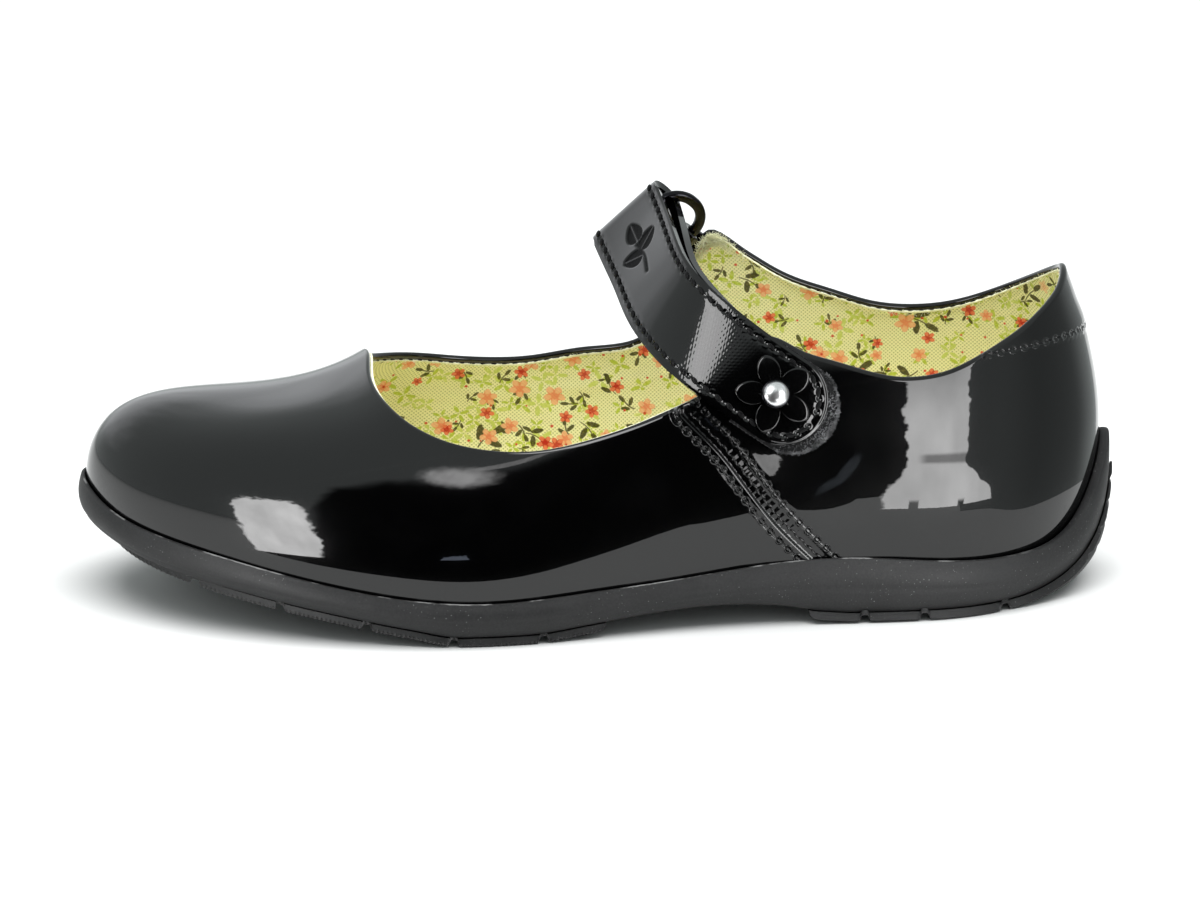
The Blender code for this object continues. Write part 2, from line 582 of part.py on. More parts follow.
def build_flower():
    """Five petals cut from one sheet, laid on the strap near its tip."""
    sheet = Sheet()
    turn = np.linspace(0, 2 * np.pi, FLOWER_STEPS, endpoint=False)
    reach = FLOWER_RADIUS * (0.40 + 0.60 * np.abs(np.cos(2.5 * (turn - 0.25)))**0.55)
    rows = []
    for share in (1.0, 0.7, 0.4, 0.1):
        t = STRAP_LENGTH - FLOWER_FROM_TIP + share * reach * np.cos(turn)
        b = share * reach * np.sin(turn)
        rows.append(strap_point(t, b, STRAP / 2 + GAP))
    rows.append(np.tile(rows[-1].mean(axis=0), (FLOWER_STEPS, 1)))
    sheet.grid(rows, ring=True)
    return thicken(sheet.finish("flower", "patent", closed=False), FLOWER_THICK, 1.0)


def build_rivet():
    """Low domed rivet at the middle of the flower."""
    sheet = Sheet()
    turn = np.linspace(0, 2 * np.pi, 24, endpoint=False)
    middle, run, across, normal, _ = [value[0] for value in strap_frame([STRAP_LENGTH - FLOWER_FROM_TIP])]
    base = middle + normal * (STRAP / 2 + FLOWER_THICK + 2 * GAP + 0.1)
    rows = [np.tile(base, (24, 1))]
    for radius, lift in ((2.3, 0.0), (2.4, 0.12), (2.3, 0.45), (2.0, 0.85), (1.45, 1.2), (0.75, 1.42), (0.0, 1.5)):
        ring = run * np.cos(turn)[:, None] + across * np.sin(turn)[:, None]
        rows.append(base + ring * radius * RIVET_RADIUS / 2.4 + normal * lift * RIVET_HEIGHT / 1.5)
    sheet.grid(rows, ring=True)
    return sheet.finish("rivet", "metal")


def main():
    build_sole()
    build_insole()
    build_upper()
    build_seam()
    build_strap()
    build_patch()
    build_ring()
    build_chape()
    build_flower()
    build_rivet()
    front, rear = STATIONS[0], STATIONS[0] + STATIONS[1]
    build_tread("tread_forefoot", 1, front, lambda s: np.full(len(s), 0.06), FOREFOOT_GROOVES)
    build_tread("tread_heel", rear, sum(STATIONS),
                lambda s: 0.10 + 0.62 * np.clip(1 - np.abs(s - HEEL) / 6.5, 0, 1), HEEL_GROOVES)


for old in list(bpy.data.objects):
    bpy.data.objects.remove(old)
materials = {name: new_material(name, *values) for name, values in MATERIALS.items()}
shoe = bpy.data.collections.new("ballet_flat")
cutters = bpy.data.collections.new("cutters")
cutters.hide_render = True
bpy.context.scene.collection.children.link(shoe)
bpy.context.scene.collection.children.link(cutters)
main()
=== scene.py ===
"""Looks of a child's ballet flat with an instep strap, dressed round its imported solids.

It is the left shoe: toe at -X, lateral side at -Y, ground at Z 0. Every skin is read from one last.
A place on the last is (s, w): s is the percentage of the way round from the toe past the lateral side,
and w is 0 at the sole's shelf and 1 at the crest. Sizes are in millimetres until a mesh is made.
"""
from __future__ import annotations

import logging
import math
from collections.abc import Callable
from dataclasses import dataclass
from enum import Enum

import bpy
import numpy as np
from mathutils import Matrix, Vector
from numpy.typing import NDArray


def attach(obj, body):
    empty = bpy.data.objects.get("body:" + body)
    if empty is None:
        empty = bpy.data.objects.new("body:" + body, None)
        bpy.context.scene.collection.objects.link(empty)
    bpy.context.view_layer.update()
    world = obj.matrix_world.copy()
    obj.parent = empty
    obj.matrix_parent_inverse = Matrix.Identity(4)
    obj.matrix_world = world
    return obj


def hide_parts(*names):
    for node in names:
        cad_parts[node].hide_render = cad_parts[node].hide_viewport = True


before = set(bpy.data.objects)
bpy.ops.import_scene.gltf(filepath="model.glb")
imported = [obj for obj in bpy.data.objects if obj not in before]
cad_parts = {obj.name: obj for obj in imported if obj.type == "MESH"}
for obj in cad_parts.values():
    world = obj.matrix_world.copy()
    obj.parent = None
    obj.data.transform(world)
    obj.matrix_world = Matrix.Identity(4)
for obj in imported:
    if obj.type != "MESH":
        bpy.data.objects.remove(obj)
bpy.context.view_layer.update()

log = logging.getLogger("ballet_flat")
Array = NDArray[np.float64]
Surface = Callable[[Array, Array], Array]

MM = 0.001
PLACE = np.array((0.386, 1.158, 0.0))    # from the last's own axes to the frame of the solids
UP = np.array((0.0, 0.0, 1.0))
HEEL = 50.54             # s of the heel's centre
WELD = 2e-6
BODY = "root"

# Last, from the toe along the lateral side to the heel and back along the medial side.
# o1 z1, o2 z2, i3 z3 shape the profile: outward (o) or inward (i) of the shelf, and above it.
LAST = (
    # shelf x y z         crest x y z           o1   z1    o2    z2    i3    z3
    (-97.4, 4.0, 15.5,    -44.3, 1.0, 47.4,     4.2, 10.5, -0.4, 36.5, 26.5, 15.5),
    (-94.2, -6.6, 14.6,   -44.1, -4.5, 47.2,    4.0, 10.4, -0.6, 34.8, 25.5, 17.5),
    (-85.6, -17.0, 12.6,  -43.2, -10.0, 46.6,   3.6, 10.2, 0.6, 31.8, 21.0, 21.0),
    (-71.0, -26.3, 9.6,   -40.6, -15.8, 46.0,   3.3, 10.0, 1.8, 28.4, 15.0, 26.0),
    (-55.0, -32.4, 7.2,   -35.8, -20.2, 45.6,   3.1, 10.0, 2.5, 25.0, 9.5, 30.5),
    (-38.5, -35.8, 5.6,   -28.5, -22.2, 45.2,   3.0, 10.0, 2.9, 23.0, 6.0, 33.0),
    (-22.0, -36.2, 5.0,   -18.0, -22.4, 45.8,   3.0, 10.5, 3.1, 22.5, 5.0, 34.5),
    (-4.0, -33.3, 5.7,    -5.0, -21.0, 49.5,    2.7, 11.0, 3.1, 24.0, 4.2, 37.5),
    (14.0, -29.8, 7.2,    9.0, -17.4, 56.0,     2.4, 12.0, 3.1, 26.0, 3.8, 42.0),
    (31.0, -27.7, 8.2,    26.0, -14.5, 62.0,    2.3, 13.0, 3.0, 28.0, 4.0, 46.0),
    (49.0, -26.6, 8.5,    46.5, -13.8, 63.5,    2.2, 13.0, 3.0, 28.5, 4.0, 46.5),
    (66.0, -25.4, 8.5,    65.5, -14.4, 63.0,    2.2, 13.0, 3.4, 28.0, 3.2, 45.5),
    (80.0, -20.6, 8.5,    77.6, -13.0, 64.0,    2.3, 13.0, 4.4, 27.5, 2.0, 45.0),
    (90.4, -11.2, 8.5,    85.6, -7.2, 66.0,     2.4, 12.6, 5.8, 27.5, 0.9, 44.0),
    (94.0, 0.0, 8.5,      88.0, 0.0, 67.0,      2.5, 12.5, 6.4, 27.5, 0.5, 43.5),
    (90.4, 11.2, 8.5,     85.6, 7.2, 66.0,      2.4, 12.6, 5.8, 27.5, 0.9, 44.0),
    (80.0, 20.4, 8.5,     77.6, 13.0, 64.5,     2.3, 13.0, 4.2, 27.5, 2.2, 45.5),
    (66.0, 24.8, 8.5,     65.5, 14.2, 64.0,     2.2, 13.0, 3.0, 28.0, 3.6, 46.5),
    (49.0, 24.6, 8.6,     46.5, 15.6, 65.5,     2.2, 13.0, 2.8, 28.5, 3.6, 48.0),
    (31.0, 22.9, 8.6,     27.0, 18.0, 66.6,     2.3, 13.0, 3.8, 28.0, 1.4, 48.0),
    (14.0, 23.2, 7.6,     11.0, 18.8, 60.0,     2.4, 12.0, 4.8, 26.5, 0.6, 44.0),
    (-4.0, 26.6, 6.0,     -5.0, 19.0, 52.0,     2.7, 11.0, 4.6, 24.0, 2.0, 39.0),
    (-21.0, 31.2, 5.0,    -18.5, 19.8, 46.6,    3.0, 10.5, 4.2, 22.5, 3.2, 35.5),
    (-36.5, 33.7, 5.6,    -29.0, 20.6, 44.6,    3.1, 10.2, 3.6, 22.5, 5.4, 32.5),
    (-52.5, 33.4, 7.0,    -36.2, 19.2, 43.8,    3.2, 10.0, 3.0, 24.0, 9.4, 28.0),
    (-68.5, 30.2, 9.2,    -40.8, 15.6, 44.2,    3.3, 10.0, 2.2, 26.5, 15.0, 22.8),
    (-82.5, 23.6, 12.0,   -43.3, 11.0, 45.2,    3.6, 10.2, 0.9, 30.0, 21.0, 18.6),
    (-93.0, 14.0, 14.3,   -44.2, 6.2, 46.6,     4.1, 10.4, -0.2, 34.4, 25.5, 15.8),
)

# Edge of the upper round the throat and collar.
TOPLINE = (
    # s    w
    (0.0, 1.0), (5.0, 0.99), (9.0, 0.968), (13.0, 0.912), (16.0, 0.838), (18.4, 0.776),
    (20.5, 0.735), (23.0, 0.698), (25.4, 0.682), (27.5, 0.677), (29.2, 0.682), (30.4, 0.69),
    (31.4, 0.715), (32.3, 0.77), (33.3, 0.82), (34.2, 0.81), (35.0, 0.765), (36.2, 0.725),
    (37.4, 0.695), (38.8, 0.672), (40.0, 0.675), (41.0, 0.692), (42.1, 0.725), (43.3, 0.765),
    (44.8, 0.812), (46.5, 0.862), (48.0, 0.895), (49.3, 0.918), (50.5, 0.926), (51.7, 0.912),
    (53.0, 0.886), (54.6, 0.838), (56.9, 0.757), (58.75, 0.705), (60.5, 0.684), (62.2, 0.692),
    (63.9, 0.73), (65.5, 0.77), (66.3, 0.805), (67.0, 0.848), (67.6, 0.895), (68.2, 0.96),
    (68.7, 1.0), (69.3, 0.975), (70.0, 0.90), (70.8, 0.80), (71.6, 0.70), (72.5, 0.652),
    (73.4, 0.65), (75.2, 0.682), (77.8, 0.705),
    (79.8, 0.735), (81.8, 0.775), (84.0, 0.83), (87.0, 0.90), (91.0, 0.955), (95.0, 0.985),
)

# Cup sole down the lateral side: top of the lip, then the profile outward of the shelf line.
SOLE_SIDE = (
    # s     lip_z  edge  out1  out2  z2
    (0.0, 22.8, -5.0, -0.5, 3.2, 15.4),
    (2.5, 20.3, -4.2, -0.2, 3.2, 15.0),
    (5.6, 17.6, -2.6, 0.8, 3.1, 12.5),
    (9.5, 15.0, -1.0, 1.6, 3.0, 10.5),
    (13.5, 11.8, 0.0, 2.2, 3.0, 8.5),
    (17.3, 9.2, 0.6, 2.5, 3.0, 6.5),
    (21.0, 8.2, 0.8, 2.6, 3.0, 5.6),
    (25.2, 9.1, 0.8, 2.6, 3.0, 6.0),
    (29.4, 10.3, 0.4, 2.4, 3.0, 7.0),
    (33.3, 12.2, 0.4, 2.2, 3.0, 8.0),
    (37.4, 12.6, 0.6, 2.2, 3.0, 8.0),
    (41.3, 11.2, 0.4, 2.2, 3.0, 7.0),
    (44.7, 11.2, -1.6, 1.4, 3.4, 7.0),
    (47.9, 17.5, -5.4, 0.2, 5.0, 8.8),
    (50.54, 28.8, -6.8, -0.5, 5.8, 9.5),
)

# Where the same profiles come again up the medial side, from the heel to the toe.
SOLE_RETURN = (53.2, 56.4, 59.7, 63.6, 67.7, 71.6, 75.8, 79.8, 83.4, 87.0, 90.7, 94.3, 97.5)

# Underside of the sole unit along the shoe, above the tread layers.
SOLE_BOTTOM = (
    # x     z
    (-98.0, 12.9), (-90.0, 11.6), (-80.0, 10.1), (-65.0, 7.8), (-50.0, 5.5), (-38.0, 3.5),
    (-28.0, 1.9), (-15.0, 1.9), (-4.0, 2.9), (8.0, 4.0), (20.0, 4.6), (32.0, 3.9),
    (41.0, 2.4), (48.0, 1.9), (84.0, 1.9), (94.0, 3.6),
)

# Middle of the strap's upper layer from the ring to the tip, and the direction across it.
STRAP_PATH = (
    # x     y      z       across x y z      lower layer's distance
    (6.3, 12.6, 70.0,      11.9, -1.3, 12.1, 5.5),
    (7.4, 7.0, 67.9,       11.4, -1.3, 12.4, 4.6),
    (8.9, -1.5, 65.0,      10.5, -1.0, 13.5, 3.3),
    (10.6, -10.3, 61.7,    10.0, -0.7, 13.9, 2.4),
    (13.6, -17.9, 58.7,    9.8, 0.5, 14.0,   2.0),
    (17.6, -23.0, 55.6,    10.2, 3.2, 13.7,  1.8),
    (22.1, -25.9, 52.4,    10.8, 4.9, 13.1,  1.8),
    (27.0, -27.3, 48.9,    10.8, 4.7, 12.8,  1.85),
    (32.7, -28.4, 45.0,    11.0, 4.2, 12.4,  1.85),
    (39.9, -29.0, 40.0,    11.2, 4.2, 12.2,  1.85),
)

# Leg of the loop that holds the ring, down the outside of the medial quarter.
CHAPE_LEG = (
    # s     w      out
    (68.4, 0.72, 1.1),
    (68.9, 0.76, 1.1),
    (69.3, 0.805, 1.1),
    (69.6, 0.84, 1.15),
    (69.9, 0.88, 1.3),
    (70.2, 0.92, 1.5),
)

# Middle of the joint between vamp and lateral quarter, from the topline to the sole.
JOINT = (
    # s     w
    (29.70, 0.675), (29.98, 0.64), (31.25, 0.50), (32.25, 0.38), (33.62, 0.23), (35.38, 0.08), (36.1, 0.02),
)

# Seam of the collar patch round the heel.
HEEL_SEAM = (
    # s     w
    (40.9, 0.69), (41.62, 0.712), (42.38, 0.718), (43.62, 0.725), (44.88, 0.73), (46.88, 0.735),
    (50.25, 0.725), (53.8, 0.735), (55.8, 0.73), (57.1, 0.72), (58.3, 0.70), (59.0, 0.685),
)


def spline(knots: Array, rows: Array, period: float | None = None) -> Callable[[Array], Array]:
    """Smooth curve through rows of numbers.

    Args:
        knots: Place of each row along the curve.
        rows: The numbers to pass through.
        period: Length of one round if the curve is closed.

    Returns:
        The rows' values as a function of the place along the curve.
    """
    x, y = np.asarray(knots, float), np.asarray(rows, float)
    if period is not None:
        x, y = np.append(x, x[0] + period), np.vstack([y, y[:1]])
    n, h = len(x), np.diff(x)
    slope = np.diff(y, axis=0) / h[:, None]
    system, right = np.zeros((n, n)), np.zeros((n, y.shape[1]))
    for i in range(1, n - 1):
        system[i, i - 1:i + 2] = h[i - 1], 2 * (h[i - 1] + h[i]), h[i]
        right[i] = 6 * (slope[i] - slope[i - 1])
    system[0, 0] = system[-1, -1] = 1
    if period is not None:
        system[0, -1] = -1
        system[-1, [0, 1, -2, -1]] = 2 * h[0], h[0], h[-1], 2 * h[-1]
        right[-1] = 6 * (slope[0] - slope[-1])
    bend = np.linalg.solve(system, right)

    def at(q: Array) -> Array:
        """Rows at places q along the curve.

        Args:
            q: Places along the curve.

        Returns:
            One row for each place.
        """
        q = np.atleast_1d(np.asarray(q, float))
        q = np.clip(q, x[0], x[-1]) if period is None else x[0] + (q - x[0]) % period
        i = np.clip(np.searchsorted(x, q, side="right") - 1, 0, n - 2)
        before, after, gap = (q - x[i])[:, None], (x[i + 1] - q)[:, None], h[i][:, None]
        cubic = (bend[i] * after**3 + bend[i + 1] * before**3) / (6 * gap)
        return (cubic + (y[i] / gap - bend[i] * gap / 6) * after
                + (y[i + 1] / gap - bend[i + 1] * gap / 6) * before)

    return at


def level(table: tuple[tuple[float, float], ...]) -> Callable[[Array], Array]:
    """Height curve through (x, z) rows that keeps flat runs flat.

    Args:
        table: The rows, in order of x.

    Returns:
        The height as a function of x.
    """
    x, z = np.array(table, float).T
    h, slope = np.diff(x), np.diff(z) / np.diff(x)
    rate = np.zeros(len(x))
    same = slope[1:] * slope[:-1] > 0
    first, second = 2 * h[1:] + h[:-1], h[1:] + 2 * h[:-1]
    safe = np.where(same, slope[1:] * slope[:-1], 1)
    mean = (first + second) * safe / (first * slope[1:] + second * slope[:-1] + 1e-12)
    rate[1:-1] = np.where(same, mean, 0)
    rate[0], rate[-1] = slope[0], slope[-1]

    def at(q: Array) -> Array:
        """Heights at places q.

        Args:
            q: Places along x.

        Returns:
            The height at each.
        """
        q = np.clip(np.asarray(q, float), x[0], x[-1])
        i = np.clip(np.searchsorted(x, q, side="right") - 1, 0, len(x) - 2)
        t = (q - x[i]) / h[i]
        return ((1 + 2 * t) * (1 - t)**2 * z[i] + t * (1 - t)**2 * h[i] * rate[i]
                + t * t * (3 - 2 * t) * z[i + 1] + t * t * (t - 1) * h[i] * rate[i + 1])

    return at


def unit(vectors: Array) -> Array:
    """Vectors brought to length 1."""
    vectors = np.asarray(vectors, float)
    return vectors / np.linalg.norm(vectors, axis=-1, keepdims=True)


def bell(distance: Array, width: float) -> Array:
    """A soft bump: 1 at no distance, and gone at about twice the width."""
    return np.exp(-(distance / width)**2)


def step(value: Array, low: float, high: float) -> Array:
    """A smooth rise from 0 at low to 1 at high."""
    t = np.clip((value - low) / (high - low), 0, 1)
    return t * t * (3 - 2 * t)


def run_length(points: Array) -> Array:
    """Distance along a line of points, at each of them."""
    return np.concatenate([[0.0], np.cumsum(np.linalg.norm(np.diff(points, axis=0), axis=1))])


class Last:
    """The form that the shoe is made on."""

    plan_step = 0.01         # s to either side that gives the heading in plan
    skin_step = 0.05         # s to either side that gives the skin's direction
    climb_step = 0.004       # w to either side that gives the climb
    search_top = 0.7         # highest w at which a height is looked for
    search_rounds = 30

    def __init__(self) -> None:
        """Reads the tables into curves."""
        rows = np.array(LAST, float)
        chords = np.linalg.norm(np.diff(rows[:, :2], axis=0, append=rows[:1, :2]), axis=1)
        knots = np.concatenate([[0], np.cumsum(chords)[:-1]]) / chords.sum() * 100
        self.control = spline(knots, rows, 100.0)
        self.topline = self.round_curve(TOPLINE)
        medial = tuple((s, *row[1:]) for s, row in zip(SOLE_RETURN, SOLE_SIDE[-2:0:-1]))
        self.sole_side = self.round_curve(SOLE_SIDE + medial)
        self.sole_bottom = level(SOLE_BOTTOM)

    @staticmethod
    def round_curve(table: tuple[tuple[float, ...], ...]) -> Callable[[Array], Array]:
        """A closed curve round the shoe from rows that start with s."""
        return spline([row[0] for row in table], [row[1:] for row in table], 100.0)

    def outward(self, s: Array) -> Array:
        """Unit vectors in plan that point away from the foot.

        Args:
            s: Places round the shoe.

        Returns:
            One vector for each place.
        """
        s = np.asarray(s)
        ahead = unit((self.control(s + self.plan_step) - self.control(s - self.plan_step))[:, :2])
        return np.stack([ahead[:, 1], -ahead[:, 0], np.zeros(len(ahead))], axis=1)

    def point(self, s: Array, w: Array) -> Array:
        """Points of the last at places (s, w).

        Args:
            s: Places round the shoe.
            w: Places up the last, 0 to 1.

        Returns:
            Points in millimetres.
        """
        s, w = np.broadcast_arrays(np.atleast_1d(s).astype(float), np.atleast_1d(w).astype(float))
        row, out = self.control(s), self.outward(s)
        shelf, crest = row[:, :3], row[:, 3:6]
        inward = unit((crest - shelf) * (1, 1, 0))
        one = shelf + out * row[:, 6:7] + UP * row[:, 7:8]
        two = shelf + out * row[:, 8:9] + UP * row[:, 9:10]
        three = shelf + inward * row[:, 10:11] + UP * row[:, 11:12]
        w = w[:, None]
        v = 1 - w
        return (v**4 * shelf + 4 * v**3 * w * one + 6 * v * v * w * w * two
                + 4 * v * w**3 * three + w**4 * crest)

    def rise(self, s: Array, w: Array) -> Array:
        """How the last climbs, in millimetres for a whole w."""
        w, nudge = np.asarray(w), self.climb_step
        return (self.point(s, w + nudge) - self.point(s, w - nudge)) / (2 * nudge)

    def normal(self, s: Array, w: Array) -> Array:
        """Unit vectors that point out of the last.

        Args:
            s: Places round the shoe.
            w: Places up the last, 0 to 1.

        Returns:
            One vector for each place.
        """
        s, nudge = np.asarray(s), self.skin_step
        along = self.point(s + nudge, w) - self.point(s - nudge, w)
        return unit(np.cross(along, self.rise(s, w)))

    def w_at(self, s: Array, z: Array) -> Array:
        """The w at which the last reaches a height.

        Args:
            s: Places round the shoe.
            z: The heights.

        Returns:
            The w of each.
        """
        low, high = np.zeros(len(s)), np.full(len(s), self.search_top)
        for _ in range(self.search_rounds):
            middle = (low + high) / 2
            under = self.point(s, middle)[:, 2] < z
            low, high = np.where(under, middle, low), np.where(under, high, middle)
        return low

    def sole_wall(self, s: Array, t: Array, gap: float = 0.3, lip: float = 1.9) -> Array:
        """The outside of the cup sole.

        Args:
            s: Place round the shoe.
            t: 0 at the lower edge and 1 at the lip.
            gap: Clearance between the lip and the upper.
            lip: Thickness of the lip.

        Returns:
            Points of the wall.
        """
        side, out, shelf = self.sole_side(s), self.outward(s), self.control(s)[:, :3]
        low = shelf + out * side[:, 1:2]
        low[:, 2] = self.sole_bottom(low[:, 0])
        one = shelf + out * side[:, 2:3]
        one[:, 2] = low[:, 2]
        two = shelf + out * side[:, 3:4]
        two[:, 2] = side[:, 4]
        top = self.point(s, self.w_at(s, side[:, 0])) + out * (gap + lip)
        t = np.broadcast_to(t, len(low))[:, None]
        return (1 - t)**3 * low + 3 * (1 - t)**2 * t * one + 3 * (1 - t) * t * t * two + t**3 * top


class Course:
    """A line over a skin, such as a seam, that knows how far along and to the side a point is."""

    nudge = 0.2              # distance to either side that gives the heading

    def __init__(self, points: Array, normals: Array) -> None:
        """Keeps the line's points, and the skin's outward direction at each.

        Args:
            points: Points of the line, in order.
            normals: The skin's directions there.
        """
        self.points = points
        self.normals = normals
        self.along = run_length(points)
        self.length = float(self.along[-1])

    def near(self, points: Array, reach: float) -> tuple[Array, Array, Array]:
        """Finds the points beside the line.

        Args:
            points: Points of the skin.
            reach: How far to the side a point may lie.

        Returns:
            The indices of the points in reach, how far along each lies, and how far to the right.
        """
        low, high = self.points.min(0) - reach, self.points.max(0) + reach
        chosen = np.nonzero(((points > low) & (points < high)).all(axis=1))[0]
        start, span = self.points[:-1], np.diff(self.points, axis=0)
        best = np.full(len(chosen), np.inf)
        along, across = np.zeros(len(chosen)), np.zeros(len(chosen))
        for i, (origin, arm) in enumerate(zip(start, span)):
            offset = points[chosen] - origin
            share = np.clip(offset @ arm / (arm @ arm), 0, 1)
            rest = offset - share[:, None] * arm
            distance = np.linalg.norm(rest, axis=1)
            closer = distance < best
            side = np.cross(arm, self.normals[i])
            best = np.where(closer, distance, best)
            along = np.where(closer, self.along[i] + share * np.linalg.norm(arm), along)
            across = np.where(closer, np.sign(rest @ side) * distance, across)
        kept = best < reach
        return chosen[kept], along[kept], across[kept]

    def at(self, distances: Array) -> tuple[Array, Array, Array]:
        """Points, headings and outward directions at distances along the line.

        Args:
            distances: Distances along the line.

        Returns:
            The points, headings and outward directions.
        """
        def read(rows: Array, shift: float = 0.0) -> Array:
            """Rows of the line at the distances, moved along by a shift."""
            return np.stack([np.interp(distances + shift, self.along, axis) for axis in rows.T], axis=1)

        heading = read(self.points, self.nudge) - read(self.points, -self.nudge)
        return read(self.points), unit(heading), unit(read(self.normals))


class Bench:
    """Steps of modelling that the pieces share."""

    @staticmethod
    def clear() -> None:
        """Leaves edit mode and deselects everything."""
        if bpy.context.object is not None and bpy.context.object.mode != "OBJECT":
            bpy.ops.object.mode_set(mode="OBJECT")
        bpy.ops.object.select_all(action="DESELECT")

    @staticmethod
    def pick(*pieces: bpy.types.Object) -> None:
        """Selects only these pieces and makes the first one active.

        Args:
            pieces: The pieces, of which the first becomes active.
        """
        Bench.clear()
        for piece in pieces:
            piece.select_set(True)
        bpy.context.view_layer.objects.active = pieces[0]

    @staticmethod
    def named(name: str) -> bpy.types.Object:
        """Gives the new active object and its mesh their name.

        Args:
            name: The name.

        Returns:
            The object.
        """
        piece = bpy.context.object
        piece.name = piece.data.name = name
        return piece

    @staticmethod
    def drape(name: str, columns: int, rows: int, surface: Surface,
              chart: Surface | None = None) -> bpy.types.Object:
        """Adds a flat grid and lays it over a surface.

        Args:
            name: Name of the piece.
            columns: Faces along u.
            rows: Faces along v.
            surface: Gives points in millimetres from u and v, which run from 0 to 1.
            chart: Gives the cloth's own flat coordinates from u and v, where a pattern needs them.

        Returns:
            The piece, whose faces look along (next column) x (next row).
        """
        Bench.clear()
        bpy.ops.mesh.primitive_grid_add(x_subdivisions=columns, y_subdivisions=rows, size=1.0)
        piece = Bench.named(name)
        u, v = Bench.read(piece)[:, :2].T.astype(float) + 0.5
        Bench.place(piece, surface(u, v))
        if chart is not None:
            corners = np.empty(len(piece.data.loops), np.int32)
            piece.data.loops.foreach_get("vertex_index", corners)
            spread = chart(u, v)[corners].astype(np.float32)
            piece.data.uv_layers[0].data.foreach_set("uv", spread.ravel())
        return piece

    @staticmethod
    def read(piece: bpy.types.Object) -> NDArray[np.float32]:
        """A mesh's points as they are kept, in metres.

        Args:
            piece: The piece.

        Returns:
            One row of three for each point.
        """
        flat = np.empty(len(piece.data.vertices) * 3, np.float32)
        piece.data.vertices.foreach_get("co", flat)
        return flat.reshape(-1, 3)

    @staticmethod
    def place(piece: bpy.types.Object, points: Array) -> None:
        """Moves a mesh's points to these places in millimetres.

        Args:
            piece: The piece.
            points: The places, in the last's axes.
        """
        spots = ((points + PLACE) * MM).astype(np.float32)
        piece.data.vertices.foreach_set("co", spots.ravel())
        piece.data.update()

    @staticmethod
    def points(piece: bpy.types.Object) -> Array:
        """A mesh's points in millimetres, in the last's axes."""
        return Bench.read(piece).astype(float) / MM - PLACE

    @staticmethod
    def mark(piece: bpy.types.Object, name: str, values: Array) -> None:
        """Gives every point of a piece a vector that its materials read."""
        layer = piece.data.attributes.new(name, "FLOAT_VECTOR", "POINT")
        layer.data.foreach_set("vector", np.asarray(values, np.float32).ravel())

    @staticmethod
    def weld(piece: bpy.types.Object, turn_out: bool = False) -> None:
        """Merges points that coincide, and may turn the faces of a closed mesh outward.

        Args:
            piece: The piece.
            turn_out: Whether the faces are turned.
        """
        Bench.pick(piece)
        bpy.ops.object.mode_set(mode="EDIT")
        bpy.ops.mesh.select_all(action="SELECT")
        bpy.ops.mesh.remove_doubles(threshold=WELD)
        bpy.ops.mesh.dissolve_degenerate(threshold=WELD / 2)
        if turn_out:
            bpy.ops.mesh.select_all(action="SELECT")
            bpy.ops.mesh.normals_make_consistent(inside=False)
        bpy.ops.object.mode_set(mode="OBJECT")

    @staticmethod
    def apply(piece: bpy.types.Object, kind: str, **settings: object) -> None:
        """Adds a modifier with these settings and applies it.

        Args:
            piece: The piece.
            kind: The modifier's type.
            settings: Its settings by name.
        """
        Bench.pick(piece)
        modifier = piece.modifiers.new(kind.title(), kind)
        for name, value in settings.items():
            setattr(modifier, name, value)
        bpy.ops.object.modifier_apply(modifier=modifier.name)

    @staticmethod
    def smooth(piece: bpy.types.Object, angle: float) -> None:
        """Shades smooth over all edges flatter than an angle in degrees."""
        Bench.pick(piece)
        bpy.ops.object.shade_smooth_by_angle(angle=math.radians(angle))

    @staticmethod
    def join(name: str, pieces: list[bpy.types.Object]) -> bpy.types.Object:
        """Joins pieces into one.

        Args:
            name: Name of the joined piece.
            pieces: What it is joined from.

        Returns:
            The joined piece.
        """
        Bench.pick(*pieces)
        bpy.ops.object.join()
        return Bench.named(name)

    @staticmethod
    def repeat(name: str, pattern: bpy.types.Object, spots: Array, axes: tuple[Array, Array, Array],
               sizes: Array | float = 1.0) -> bpy.types.Object:
        """Copies a small piece to many places and joins the copies.

        Args:
            name: Name of the joined piece.
            pattern: The piece to copy, modelled at the origin in metres, which is used up.
            spots: Places of the copies in millimetres.
            axes: Each copy's own X, Y and Z directions.
            sizes: Scale of the copies, one number or three for each.

        Returns:
            The joined piece.
        """
        local = Bench.read(pattern).astype(float) / MM
        sizes = np.broadcast_to(np.asarray(sizes, float), (len(spots), 3))
        frames = np.stack([np.broadcast_to(axis, spots.shape) for axis in axes], axis=1)
        placed = spots[:, None, :] + np.einsum("kv,nv,nvx->nkx", local, sizes, frames)
        faces = [tuple(face.vertices) for face in pattern.data.polygons]
        count = len(local)
        mesh = bpy.data.meshes.new(name)
        mesh.from_pydata(((placed.reshape(-1, 3) + PLACE) * MM).tolist(), [],
                         [tuple(corner + i * count for corner in face)
                          for i in range(len(spots)) for face in faces])
        made = bpy.data.objects.new(name, mesh)
        bpy.context.scene.collection.objects.link(made)
        bpy.data.objects.remove(pattern)
        mesh.shade_smooth()
        return made

